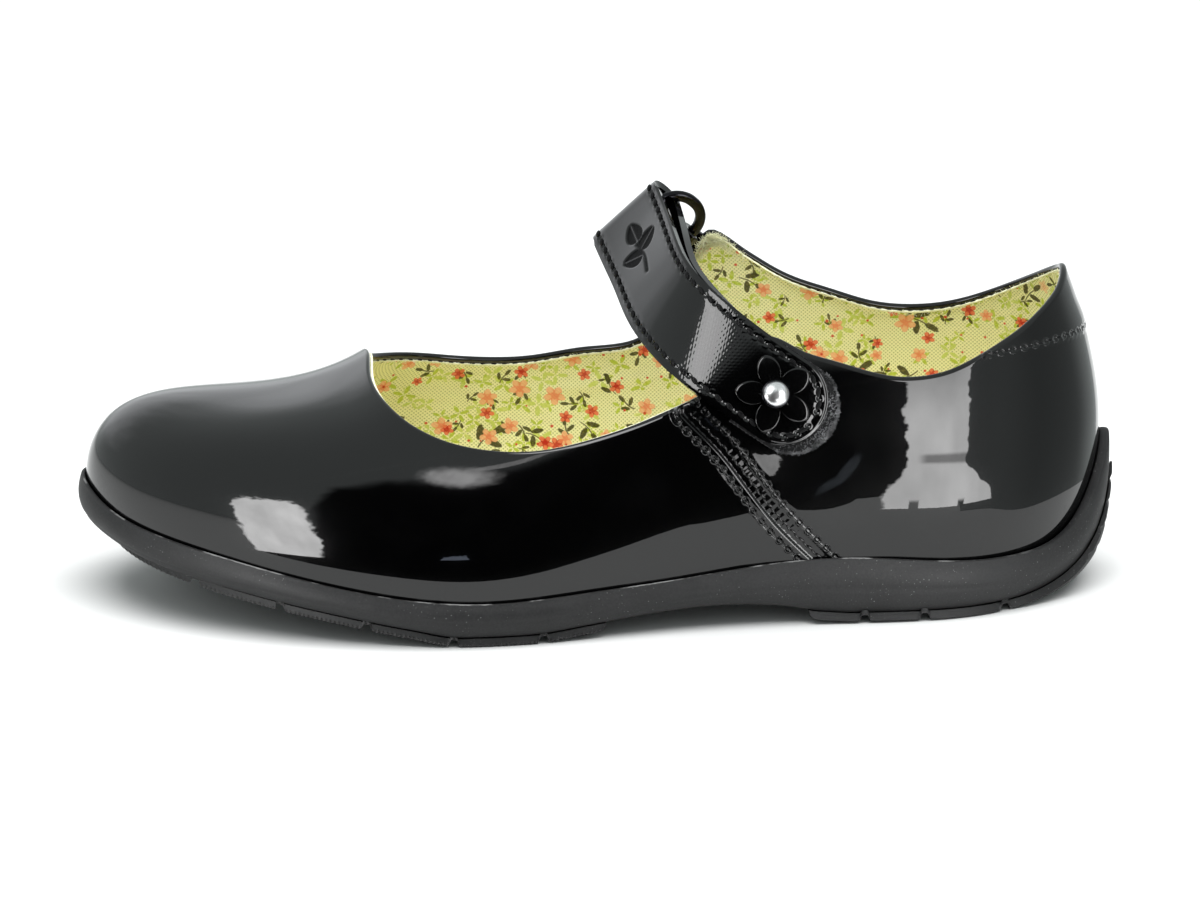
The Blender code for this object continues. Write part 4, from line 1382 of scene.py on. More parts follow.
@dataclass
class Upper:
    """Vamp and quarters: lacquered skin with a turned edge, its seams, and the cotton lining."""

    last: Last
    looks: Finishes
    wall: float = 1.35
    hem: float = 0.80            # how far the skin turns down inside
    back_depth: float = 0.5      # how far its back lies under its face
    panel_step: float = 0.42     # height of the panels' turned edges at the joint
    joint_edges: tuple[float, float] = (0.95, -1.85)
    joint_rows: tuple[float, float] = (2.55, -2.70)
    joint_pitch: float = 2.55
    patch_step: float = 0.30
    patch_aside: float = -0.95   # where the collar patch is sewn, beside its seam
    patch_pitch: float = 2.5
    edge_pitch: float = 2.1
    edge_drop: float = 0.45      # where the hem is sewn, below the edge
    # how many faces the skin has round the shoe up to each s, closer where the seams are
    spread: tuple[tuple[float, int], ...] = ((28.3, 112), (37.6, 154), (41.0, 16), (60.0, 176), (100.0, 150))
    rows: tuple[int, int, int, int] = (110, 9, 5, 25)    # outside, round the edge, hem, back of the skin
    fold: tuple[float, float] = (0.28, 0.22)     # how far before and past its line a turned edge rises
    panel_fall: tuple[float, float] = (13.5, 1.0)        # where a panel's extra height is gone, and whole
    patch_fall: tuple[float, float] = (6.8, 1.5)
    seam_reach: tuple[float, float] = (14.0, 7.0)        # how far the joint and the heel seam change the skin
    pucker: tuple[float, float, float] = (0.45, 0.16, 0.35)      # of the joint: place, height and width
    joint_thread: tuple[float, float, float] = (1.5, 0.46, 0.40)     # length, width and height of a stitch
    patch_thread: tuple[float, float, float] = (1.75, 0.75, 0.55)
    edge_thread: tuple[float, float, float] = (1.5, 0.55, 0.5)
    throat_ends: tuple[float, float] = (71.6, 28.5)      # s at which the hem's stitches begin and end
    collar_ends: tuple[float, float] = (36.5, 65.5)
    knot: tuple[float, float, float] = (1.45, 0.50, 0.52)    # length, width and height
    knot_pitch: float = 1.2
    knot_lean: float = 13.0      # in degrees, to either side by turns
    lining_step: float = 0.22    # how far the lining lies before the wall's inner face
    slack_folds: tuple[tuple[float, float, float], ...] = (
        # w     s     lean
        (0.60, 86.0, 0.016), (0.70, 72.0, -0.012), (0.52, 76.0, 0.008))
    slack_run: tuple[float, float] = (52.0, 58.0)        # s over which the cloth goes slack
    slack_depth: float = 0.30
    loose_fibres: int = 2200
    ring_fray: tuple[float, float, float] = (68.9, 0.5, 0.4)     # s, spread and share of the fibres there
    edge_cord: tuple[float, float] = (0.26, 0.06)        # half thickness of the frayed edge, and its change

    def __post_init__(self) -> None:
        """Lays out the seams."""
        self.joint = self.course(JOINT, 160)
        self.heel_seam = self.course(HEEL_SEAM, 220)

    def course(self, table: tuple[tuple[float, float], ...], count: int) -> Course:
        """A seam over the skin through rows of (s, w).

        Args:
            table: The rows.
            count: How many points the seam gets at most.

        Returns:
            The seam.
        """
        rows = np.array(table)
        knots = run_length(self.last.point(rows[:, 0], rows[:, 1]))
        spots = spline(knots, rows)(np.linspace(0, knots[-1], count))
        spots = spots[spots[:, 1] < self.edge(spots[:, 0] % 100) - 0.02]
        return Course(self.last.point(*spots.T), self.last.normal(*spots.T))

    def station(self, u: Array) -> Array:
        """Place round the shoe of each column of the skin.

        Args:
            u: Share of the way along the columns, 0 to 1.

        Returns:
            The s of each column.
        """
        ends = np.array([0.0] + [end for end, _ in self.spread])
        faces = np.cumsum([0] + [count for _, count in self.spread])
        return np.interp(u * faces[-1], faces, ends)

    def edge(self, s: Array) -> Array:
        """The w at which the skin starts to turn over."""
        top = self.last.topline(s)[:, 0]
        return top - self.wall / 2 / np.linalg.norm(self.last.rise(s, top), axis=1)

    def below(self, s: Array, drop: Array | float) -> Array:
        """The w that lies so many millimetres below the skin's edge."""
        edge = self.edge(s)
        return edge - drop / np.linalg.norm(self.last.rise(s, edge), axis=1)

    def relief(self, points: Array) -> Array:
        """Height of panels, seams and puckers over the plain last.

        Args:
            points: Points of the plain last.

        Returns:
            The height at each.
        """
        height = np.zeros(len(points))
        found, _, aside = self.joint.near(points, self.seam_reach[0])
        toe_edge, heel_edge = self.joint_edges
        before, past = self.fold
        toe_side = step(aside, toe_edge - before, toe_edge + past) * step(aside, *self.panel_fall)
        heel_side = step(-aside, -heel_edge - before, -heel_edge + past) * step(-aside, *self.panel_fall)
        height[found] += self.panel_step * (toe_side + heel_side)
        place, rim, width = self.pucker
        puckers = bell(aside - toe_edge - place, width) + bell(aside - heel_edge + place, width)
        height[found] += rim * puckers
        for row in self.joint_rows:
            height[found] -= rim * bell(aside - row, 0.42)
        found, _, aside = self.heel_seam.near(points, self.seam_reach[1])
        height[found] += self.patch_step * step(-aside, -0.1, 0.35) * step(-aside, *self.patch_fall)
        height[found] -= 0.10 * bell(aside - self.patch_aside, 0.4)
        x, y, z = points.T
        height += 0.05 * np.sin(x / 9.1 + z / 5.3) * np.sin(z / 7.7 - x / 17 + y / 8)
        return height

    def skin(self, u: Array, v: Array) -> Array:
        """The skin's closed surface: up the outside, over the edge, and down its back.

        Args:
            u: Share of the way along the columns, 0 to 1.
            v: Share of the way along the rows, 0 to 1.

        Returns:
            Points in millimetres.
        """
        outside, roll, turned, back = self.rows
        s, place = self.station(u), v * sum(self.rows)
        edge = self.edge(s)
        w = edge * np.clip(place / outside, 0, 1)
        down = np.clip((place - outside - roll) / turned, 0, 1) * self.hem
        backward = np.clip((place - outside - roll - turned - 1) / (back - 1), 0, 1)
        inside = place > outside + roll
        w = np.where(inside, self.below(s, down), w)
        w = np.where(backward > 0, w * (1 - backward), w)
        depth = np.where(inside, self.wall, 0.0)
        behind = place > outside + roll + turned + 0.5
        depth = np.where(behind, self.back_depth, depth) * np.where(backward >= 1, 0.0, 1.0)
        plain, normal = self.last.point(s, w), self.last.normal(s, w)
        outer = place <= outside
        height = np.zeros(len(s))
        height[outer] = self.relief(plain[outer])
        points = plain + normal * (height - depth)[:, None]
        turn = np.pi * np.clip((place - outside) / roll, 0, 1)
        rolling = (place > outside) & ~inside
        radius = self.wall / 2
        over = (plain + normal * (radius * (np.cos(turn) - 1))[:, None]
                + unit(self.last.rise(s, edge)) * (radius * np.sin(turn))[:, None])
        return np.where(rolling[:, None], over, points)

    def build_skin(self) -> None:
        """Lays the skin and closes it."""
        columns = sum(count for _, count in self.spread)
        piece = Bench.drape("upper_patent", columns, sum(self.rows), self.skin)
        points = Bench.points(piece)
        for name, seam in (("joint", self.joint), ("heel_seam", self.heel_seam)):
            chart = np.zeros((len(points), 3))
            _, chart[:, 0], chart[:, 1] = seam.near(points, 1e4)
            Bench.mark(piece, name, chart)
        Bench.weld(piece)
        Bench.smooth(piece, 60)
        Bench.settle(piece, "patent", [self.looks.sewn_patent], ("upper",))

    def proud(self, s: Array) -> Array:
        """Where the lining stands over the skin's edge: from the throat back along the lateral quarter."""
        return step(s, 44.0, 36.0) + step(s, 94.5, 97.5)

    def lining(self, u: Array, v: Array) -> Array:
        """The lining's face, from the hem down to the sock.

        Args:
            u: Share of the way along the columns, 0 to 1.
            v: Share of the way along the rows, 0 to 1.

        Returns:
            Points in millimetres.
        """
        s = 100 - u * 100
        top = self.below(s, self.hem - 0.75 - 0.40 * self.proud(s))
        w = top * v + 0.03 * (1 - v)
        plain, normal = self.last.point(s, w), self.last.normal(s, w)
        puff = (0.14 * np.sin(s * 0.9 + w * 4) * np.sin(w * 9 + s * 0.31)
                + 0.10 * np.sin(s * 2.3 - w * 12)) * np.clip((1 - v) * 6, 0, 1)
        slack = np.clip((1 - v) * 4, 0, 1) * step(s, *self.slack_run)
        for rise, across, lean in self.slack_folds:
            crease = bell(w - rise - lean * (s - across), 0.030) * bell(s - across, 5.5)
            puff += self.slack_depth * crease * slack
        return plain - normal * (self.wall - self.lining_step + puff)[:, None]

    def cloth(self, u: Array, v: Array) -> Array:
        """Flat place of the lining's cloth: distance round the shoe and up its side.

        Args:
            u: Share of the way along the columns, 0 to 1.
            v: Share of the way along the rows, 0 to 1.

        Returns:
            Two coordinates in millimetres.
        """
        steps = np.linspace(0, 100, 401)
        round_shoe = run_length(self.last.point(steps, np.full(401, 0.66)))
        s = 100 - u * 100
        heights = self.lining(u, v)[:, 2]
        return np.stack([np.interp(s, steps, round_shoe), heights * 1.04], axis=1)

    def build_lining(self) -> None:
        """Lays the lining."""
        piece = Bench.drape("lining", 320, 64, self.lining, self.cloth)
        Bench.weld(piece)
        Bench.apply(piece, "SOLIDIFY", thickness=0.4 * MM, offset=-1.0, use_even_offset=False)
        Bench.smooth(piece, 60)
        Bench.settle(piece, "lining", [self.looks.cotton])

    def sew(self, name: str, course: Course, aside: float, pitch: float, size: tuple[float, float, float],
            lean: float = 0.0, sink: float = 0.12) -> bpy.types.Object:
        """Lays a row of thread along a seam.

        Args:
            name: Name of the piece.
            course: The seam.
            aside: Distance of the row from it.
            pitch: Spacing of the stitches.
            size: Length, width and height of one stitch.
            lean: Turn of each stitch against the row, in degrees.
            sink: How deep the stitches lie.

        Returns:
            The row.
        """
        spots, ahead, out = course.at(np.arange(pitch, course.length - 0.4 * pitch, pitch) - pitch / 2)
        side = np.cross(ahead, out)
        spots = spots + side * aside - out * sink
        turn = math.radians(lean)
        along = ahead * math.cos(turn) + side * math.sin(turn)
        return Bench.repeat(name, Bench.bead(*size), spots, (along, np.cross(out, along), out))

    def build_stitches(self) -> None:
        """Sews the joint, the collar patch and the turned edge."""
        rows = [self.sew(f"joint_row_{n}", self.joint, aside, self.joint_pitch, self.joint_thread)
                for n, aside in enumerate(self.joint_rows)]
        rows.append(self.sew("patch_row", self.heel_seam, self.patch_aside, self.patch_pitch,
                             self.patch_thread, lean=10, sink=-0.02))
        begin, end = self.throat_ends
        throat = np.concatenate([np.linspace(begin, 100, 240), np.linspace(0, end, 240)])
        collar = np.linspace(*self.collar_ends, 300)
        for n, s in enumerate((throat, collar)):
            w = self.below(s, self.edge_drop)
            inward = -self.last.normal(s, w)
            course = Course(self.last.point(s, w) + inward * (self.wall + 0.05), inward)
            rows.append(self.sew(f"edge_row_{n}", course, 0.0, self.edge_pitch, self.edge_thread, lean=14,
                                 sink=0.04))
        piece = Bench.join("upper_stitches", rows)
        Bench.settle(piece, "patent", [self.looks.thread])

    def build_joint(self) -> None:
        """Lays the strip between the panels and its knotted seam."""

        def strip(u: Array, v: Array) -> Array:
            """Shallow channel floor between the two panels' edges.

            Args:
                u: Share of the way along the columns, 0 to 1.
                v: Share of the way along the rows, 0 to 1.

            Returns:
                Points in millimetres.
            """
            spots, ahead, out = self.joint.at(1.0 + u * (self.joint.length - 2.0))
            side = np.cross(ahead, out)
            aside = 0.78 - v * 2.45
            sag = 0.05 * np.cos((v - 0.5) * np.pi) + 0.03 * np.sin(u * 170)
            return spots + side * aside[:, None] + out * sag[:, None]

        floor = Bench.drape("seam_floor", 150, 8, strip)
        Bench.apply(floor, "SOLIDIFY", thickness=0.35 * MM, offset=-1.0)
        distances = np.arange(self.knot_pitch, self.joint.length - 0.8, self.knot_pitch)
        spots, ahead, out = self.joint.at(distances)
        side = np.cross(ahead, out)
        odd = np.where(np.arange(len(distances)) % 2 == 0, 1.0, -1.0)
        rng = np.random.default_rng(7)
        turn = np.radians(self.knot_lean * odd + rng.normal(0, 6, len(odd)))[:, None]
        along = ahead * np.cos(turn) + side * np.sin(turn)
        spots = spots + side * (-0.45 + 0.10 * odd)[:, None] + out * 0.28
        knots = Bench.repeat("knots", Bench.bead(*self.knot), spots, (along, np.cross(out, along), out))
        piece = Bench.join("seam_strip_sewn", [floor, knots])
        Bench.smooth(piece, 60)
        Bench.settle(piece, "patent", [self.looks.patent], ("seam_strip",))

    def build_fray(self) -> None:
        """Lays the frayed cut edge of the lining under the hem, with loose fibres by the ring."""

        def cord(u: Array, v: Array) -> Array:
            """A thin cord along the lining's top edge.

            Args:
                u: Share of the way along the columns, 0 to 1.
                v: Share of the way along the rows, 0 to 1.

            Returns:
                Points in millimetres.
            """
            s, turn = 100 - u * 100, v * 2 * np.pi
            proud = self.proud(s)
            w = self.below(s, (self.hem - 0.25) * (1 - proud) - 0.62 * proud)
            plain, normal = self.last.point(s, w), self.last.normal(s, w)
            rise = unit(self.last.rise(s, w))
            half, change = self.edge_cord
            thick = half + change * np.sin(s * 61) * np.sin(s * 23.7)
            ring = normal * np.cos(turn)[:, None] * 0.8 + rise * np.sin(turn)[:, None]
            return plain - normal * (self.wall + 0.14) + ring * thick[:, None]

        edge = Bench.drape("lining_edge", 900, 6, cord)
        Bench.weld(edge)
        rng = np.random.default_rng(3)
        count = self.loose_fibres
        middle, spread, share = self.ring_fray
        near_ring = rng.uniform(size=count) < share
        s = np.where(near_ring, rng.normal(middle, spread, count), rng.uniform(0, 100, count))
        drop = np.where(near_ring, rng.uniform(-0.3, 2.6, count), rng.uniform(0.3, 1.2, count))
        w = self.below(s, drop)
        plain, normal = self.last.point(s, w), self.last.normal(s, w)
        way = unit(rng.normal(size=(count, 3)) - normal * 0.8 + UP * 0.5)
        spots = plain - normal * (self.wall + 0.2) + way * 0.3
        across = unit(np.cross(way, rng.normal(size=(count, 3))))
        long = np.where(near_ring, rng.uniform(0.9, 2.0, count), rng.uniform(0.5, 1.0, count))
        sizes = np.ones((count, 3))
        sizes[:, 0] = long
        hairs = Bench.repeat("hairs", Bench.bead(1.0, 0.07, 0.07, 4, 4), spots,
                             (way, across, np.cross(way, across)), sizes)
        piece = Bench.join("lining_fray", [edge, hairs])
        Bench.smooth(piece, 60)
        Bench.settle(piece, "lining", [self.looks.fray])

    def build(self) -> None:
        """Builds the whole upper."""
        self.build_skin()
        self.build_lining()
        self.build_stitches()
        self.build_joint()
        self.build_fray()


@dataclass
class Insole:
    """Padded sock on the floor of the shoe."""

    last: Last
    looks: Finishes
    thickness: float = 2.6
    inset: float = 1.30
    corner: float = 0.35

    def line(self, s: Array, inset: float, lift: Array | float) -> Array:
        """Points along the sock's outline."""
        return (self.last.control(s)[:, :3] - self.last.outward(s) * inset
                + UP * np.broadcast_to(lift, len(s))[:, None])

    def surface(self, u: Array, v: Array) -> Array:
        """The sock's closed surface, from under its middle round the edge to the middle of its top.

        Args:
            u: Share of the way along the columns, 0 to 1.
            v: Share of the way along the rows, 0 to 1.

        Returns:
            Points in millimetres.
        """
        s = u * 100
        turn = np.clip((v - 0.35) / 0.25, 0, 1) * np.pi
        inset = self.inset + self.corner * (1 - np.sin(turn))
        lift = self.thickness / 2 * (1 - np.cos(turn))
        low_w = np.full(len(s), 0.04)
        rim = self.last.point(s, lift / np.linalg.norm(self.last.rise(s, low_w), axis=1))
        rim[:, 2] = self.line(s, 0, lift)[:, 2]
        rim -= self.last.outward(s) * inset[:, None]
        middle = (self.line(s, self.inset + self.corner, lift)
                  + self.line(facing(s), self.inset + self.corner, lift)) / 2
        share = np.where(v < 0.35, 1 - v / 0.35, np.clip((v - 0.6) / 0.4, 0, 1))
        points = rim * (1 - share)[:, None] + middle * share[:, None]
        points[:, 2] += np.where(v > 0.6, 0.5 * np.sin(share * np.pi / 2), 0)
        return points

    def chart(self, u: Array, v: Array) -> Array:
        """Flat place of the sock's cloth."""
        return self.surface(u, v)[:, :2]

    def build(self) -> None:
        """Builds the sock."""
        piece = Bench.drape("sock", 260, 40, self.surface, self.chart)
        Bench.weld(piece, turn_out=True)
        Bench.smooth(piece, 50)
        Bench.settle(piece, "lining", [self.looks.cotton], ("insole",))


@dataclass
class CupSole:
    """Moulded cup sole: underside, rounded wall, lip and the shelf under the upper."""

    last: Last
    looks: Finishes
    gap: float = 0.3
    lip: float = 1.9
    crown: float = 0.30
    shoulder: float = 1.25       # how far the wall leans in to the upper at its top
    shoulder_low: float = 0.66   # height share at which the lean begins
    mould_line: tuple[float, float, float] = (0.62, 0.10, 0.03)      # height share, depth and width
    deck_rows: int = 5
    wall_rows: int = 30
    crown_rows: int = 8
    inner_rows: int = 5

    @property
    def rows(self) -> int:
        """How many faces the surface has from the middle of its underside to that of its shelf."""
        return 2 * self.deck_rows + self.wall_rows + self.crown_rows + self.inner_rows

    def surface(self, u: Array, v: Array) -> Array:
        """The sole's closed surface, from under its middle, up the wall and in over the shelf.

        Args:
            u: Share of the way along the columns, 0 to 1.
            v: Share of the way along the rows, 0 to 1.

        Returns:
            Points in millimetres.
        """
        s = u * 100
        place = v * self.rows
        wall = np.clip((place - self.deck_rows) / self.wall_rows, 0, 1)
        after = place - self.deck_rows - self.wall_rows
        turn = np.clip(after / self.crown_rows, 0, 1) * np.pi
        sink = np.clip((after - self.crown_rows) / self.inner_rows, 0, 1)
        inward = np.clip((after - self.crown_rows - self.inner_rows) / self.deck_rows, 0, 1)
        out = self.last.outward(s)
        lip = self.last.w_at(s, self.last.sole_side(s)[:, 0])
        side = self.last.sole_wall(s, wall, self.gap, self.lip) + self.wall_relief(s, wall)
        rim = (self.last.point(s, lip * (1 - sink))
               + out * (self.gap - 0.12 + (self.lip + 0.12 - self.lean(s)) * (1 + np.cos(turn)) / 2)[:, None]
               + UP * (self.crown * np.sin(turn) - self.gap * sink)[:, None])
        points = np.where((after > 0)[:, None], rim, side)
        under = 1 - np.clip(place / self.deck_rows, 0, 1)
        share = np.maximum(under, inward)
        other = facing(s)
        low = self.last.sole_wall(other, 0.0)
        shelf = self.last.control(other)[:, :3] + self.last.outward(other) * self.gap - UP * self.gap
        opposite = np.where((under > 0)[:, None], low, shelf)
        middle = (points + opposite) / 2
        return points * (1 - share)[:, None] + middle * share[:, None]

    def wall_relief(self, s: Array, t: Array) -> Array:
        """How the wall is drawn in: a mould line along it, and the lean of its top.

        Args:
            s: Places round the shoe.
            t: Places up the wall, 0 to 1.

        Returns:
            How far each point moves.
        """
        place, depth, width = self.mould_line
        crease = depth * bell(t - place, width)
        lean = self.lean(s) * np.clip((t - self.shoulder_low) / (1 - self.shoulder_low), 0, 1)**2.2
        return -self.last.outward(s) * (crease + lean)[:, None]

    def lean(self, s: Array) -> Array:
        """How far the wall leans in: least behind the heel."""
        return self.shoulder * (1 - 0.9 * bell(s - HEEL, 6.5))

    def build(self) -> None:
        """Builds the cup sole."""
        columns = 560
        piece = Bench.drape("cup_sole", columns, self.rows, self.surface)
        place = np.repeat(np.arange(self.rows + 1.0), columns + 1)
        first, last = self.deck_rows + self.wall_rows, self.deck_rows + self.wall_rows + self.crown_rows
        reach = np.interp(place, (first - 6, first, last, last + 2), (2.1, 0.3, -0.4, -1.5))
        Bench.mark(piece, "lip", np.stack([reach] * 3, axis=1))
        Bench.weld(piece, turn_out=True)
        Bench.smooth(piece, 40)
        Bench.settle(piece, "rubber", [self.looks.cup_rubber], ("sole_unit",))


@dataclass
class Tread:
    """A tread layer under part of the sole, with a ridged edge and cross grooves."""

    name: str
    node: str
    last: Last
    looks: Finishes
    first: float             # s from which it runs, on either side
    end: float               # s to which it runs
    climb: Callable[[Array], Array]
    grooves: tuple[float, ...]               # x of each
    tooth: float = 0.0       # depth of the fine teeth round its edge
    scallops: tuple[float, ...] = ()         # z of the notches behind the heel
    tooth_pitch: float = 0.82
    gap: float = 0.3
    thickness: float = 1.6
    groove_width: float = 1.6
    groove_depth: float = 1.25
    rib_pitch: float = 2.4       # low ribs across the underside
    rib_height: float = 0.16
    scallop_depth: float = 0.55
    scallop_run: tuple[float, float] = (84.0, 94.0)      # x over which the scallops come in
    end_round: float = 0.5       # how much s the rounding of an end takes
    columns: int = 1100
    rows: tuple[int, int, int] = (6, 6, 5)     # deck, wall, edge

    def normal(self, s: Array, t: Array) -> Array:
        """Outward directions of the cup sole's wall.

        Args:
            s: Places round the shoe.
            t: Places up the wall, 0 to 1.

        Returns:
            One vector for each place.
        """
        t = np.maximum(t, 0.015)
        run = self.last.sole_wall(s + 0.05, t) - self.last.sole_wall(s - 0.05, t)
        rise = self.last.sole_wall(s, t + 0.01) - self.last.sole_wall(s, t - 0.01)
        return unit(np.cross(run, rise))

    def station(self, u: Array) -> Array:
        """Place round the shoe: down the lateral side and back up the medial one.

        Args:
            u: Share of the way along the columns, 0 to 1.

        Returns:
            The s of each column.
        """
        lateral = self.first + (self.end - self.first) * np.clip(u * 2, 0, 1)
        back = facing(self.first + (self.end - self.first) * np.clip(2 - u * 2, 0, 1))
        return np.where(u <= 0.5, lateral, back)

    def surface(self, u: Array, v: Array) -> Array:
        """The layer's closed surface: its top from the middle out, its edge, and its underside.

        Args:
            u: Share of the way along the columns, 0 to 1.
            v: Share of the way along the rows, 0 to 1.

        Returns:
            Points in millimetres.
        """
        deck, wall, edge = self.rows
        place = v * (2 * deck + 2 * wall + edge)
        s = self.station(u)
        local = np.where(s > HEEL, facing(s), s)
        climb = self.climb(local)
        rising = np.clip((place - deck) / wall, 0, 1)
        falling = np.clip((place - deck - wall - edge) / wall, 0, 1)
        t = climb * (rising - falling)
        share = np.maximum(1 - np.clip(place / deck, 0, 1),
                           np.clip((place - deck - 2 * wall - edge) / deck, 0, 1))
        over = np.clip((place - deck - wall) / edge, 0, 1)
        base, normal = self.last.sole_wall(s, t), self.normal(s, t)
        closed = np.clip((self.end - local) / self.end_round, 0, 1) if self.end < HEEL - 1 else 1.0
        ends = np.minimum(np.clip((local - self.first) / self.end_round, 0, 1), closed)
        full = np.sqrt(1 - (1 - ends)**2)
        taper = 1 - 0.72 * step(t, 0.42, 0.85)
        offset = self.gap + self.thickness * full * over * taper
        points = base + normal * offset[:, None]
        if self.tooth:
            along = points[:, 0] / self.tooth_pitch
            ridge = 2 * np.abs(along - np.floor(along + 0.5))
            low = np.sin(np.clip(over * 2.2 - 1.2, 0, 1) * np.pi / 2)
            points += self.last.outward(s) * (self.tooth * (ridge - 0.5) * low)[:, None]
            points[:, 2] += np.where(over > 0.7, self.tooth * 1.7 * ridge * full, 0)
        if self.scallops:
            sides = np.minimum.reduce([np.abs(points[:, 2] - z) for z in self.scallops])
            notch = self.scallop_depth * bell(sides, 0.42) * over * step(points[:, 0], *self.scallop_run)
            points -= normal * notch[:, None]
        mirrored = self.last.sole_wall(facing(s), 0.0) - UP * offset[:, None]
        points = points * (1 - share / 2)[:, None] + mirrored * (share / 2)[:, None]
        lifted = over > 0.3
        for x in self.grooves:
            cut = step(np.abs(points[:, 0] - x), self.groove_width / 2 + 0.3, self.groove_width / 2 - 0.3)
            points[:, 2] += np.where(lifted, cut * self.groove_depth * (t < 0.3), 0)
        ribs = self.rib_height * (np.sin(points[:, 0] * 2 * np.pi / self.rib_pitch) > 0)
        points[:, 2] += ribs * (share > 0.1) * (over == 1) * full
        return points

    def build(self) -> None:
        """Builds the layer."""
        deck, wall, edge = self.rows
        piece = Bench.drape(self.name, self.columns, 2 * deck + 2 * wall + edge, self.surface)
        Bench.weld(piece, turn_out=True)
        Bench.smooth(piece, 35)
        Bench.settle(piece, "rubber", [self.looks.rubber], (self.node,))


class StrapForm:
    """The strap's run over the instep, from its lower layer round the ring to the tip."""

    thickness = 1.5
    half = 8.6
    fold_radius = 2.75
    fold_turn = 80.0                # degrees that the fold turns to either side of its middle
    hang = (0.56, 0.36, -0.75)      # the way the ring hangs from the fold
    last_low = 7                    # row of the path where the lower layer ends
    nudge = 0.05                    # distance to either side that gives the heading

    def __init__(self) -> None:
        """Reads the path and unrolls the whole ribbon."""
        rows = np.array(STRAP_PATH)
        self.knots = run_length(rows[:, :3])
        self.length = float(self.knots[-1])
        self.line = spline(self.knots, rows)
        self.unroll()

    def frame(self, t: Array) -> tuple[Array, Array, Array, Array, Array]:
        """Reads the upper layer's place and directions.

        Args:
            t: Distances along the upper layer.

        Returns:
            Its middle, its heading, across and outward directions, and how far under it the lower layer lies.
        """
        t = np.atleast_1d(np.asarray(t, float))
        inside = np.clip(t, self.nudge, self.length - self.nudge)
        row = self.line(inside)
        run = unit(self.line(inside + self.nudge)[:, :3] - self.line(inside - self.nudge)[:, :3])
        middle = row[:, :3] + run * (t - inside)[:, None]
        across = unit(row[:, 3:6])
        normal = unit(np.cross(run, across))
        return middle, run, unit(np.cross(normal, run)), normal, row[:, 6]

    def point(self, t: Array, b: Array, lift: Array | float) -> Array:
        """Points over the upper layer: t along it, b across it and lift above its middle."""
        middle, _, across, normal, _ = self.frame(t)
        return middle + across * np.asarray(b)[:, None] + normal * np.broadcast_to(lift, len(middle))[:, None]

    def ring_frame(self) -> tuple[Array, Array, Array, Array]:
        """Middle of the fold's bar, and the ring's long, hanging and facing directions.

        Returns:
            The middle and the three directions.
        """
        middle, _, across, normal, _ = [value[0] for value in self.frame(np.array([0.0]))]
        hang = unit(np.array(self.hang) - across * np.dot(self.hang, across))
        return middle - normal * self.fold_radius, across, hang, np.cross(hang, across)

    def unroll(self) -> None:
        """Fits one curve through the lower layer, the fold and the upper layer."""
        low_t = np.linspace(self.knots[self.last_low] + 0.5, 0.6, 16)
        middle, _, across, normal, distance = self.frame(low_t)
        bar, bar_across, _, _ = self.ring_frame()
        start = self.frame(np.array([0.0]))
        turn = np.radians(np.linspace(-self.fold_turn, self.fold_turn, 9))[:, None]
        fold = bar + self.fold_radius * (start[3] * np.sin(turn) - start[1] * np.cos(turn))
        high_t = np.linspace(0.4, self.length, 30)
        upper = self.frame(high_t)
        middles = np.vstack([middle - normal * distance[:, None], fold, upper[0]])
        acrosses = np.vstack([across, np.tile(bar_across, (len(turn), 1)), upper[2]])
        self.run = run_length(middles)
        self.whole = float(self.run[-1])
        self.top_start = float(self.run[len(low_t) + len(turn)]) - 0.4
        self.ribbon = spline(self.run, np.hstack([middles, acrosses]))

    def ribbon_frame(self, d: Array) -> tuple[Array, Array, Array]:
        """Middle, across and outward directions at a distance d along the whole ribbon.

        Args:
            d: Distances along the whole ribbon.

        Returns:
            The middle and the two directions for each distance.
        """
        row = self.ribbon(d)
        ahead = unit(self.ribbon(d + 0.1)[:, :3] - self.ribbon(d - 0.1)[:, :3])
        across = unit(row[:, 3:])
        normal = unit(np.cross(ahead, across))
        return row[:, :3], unit(np.cross(normal, ahead)), normal


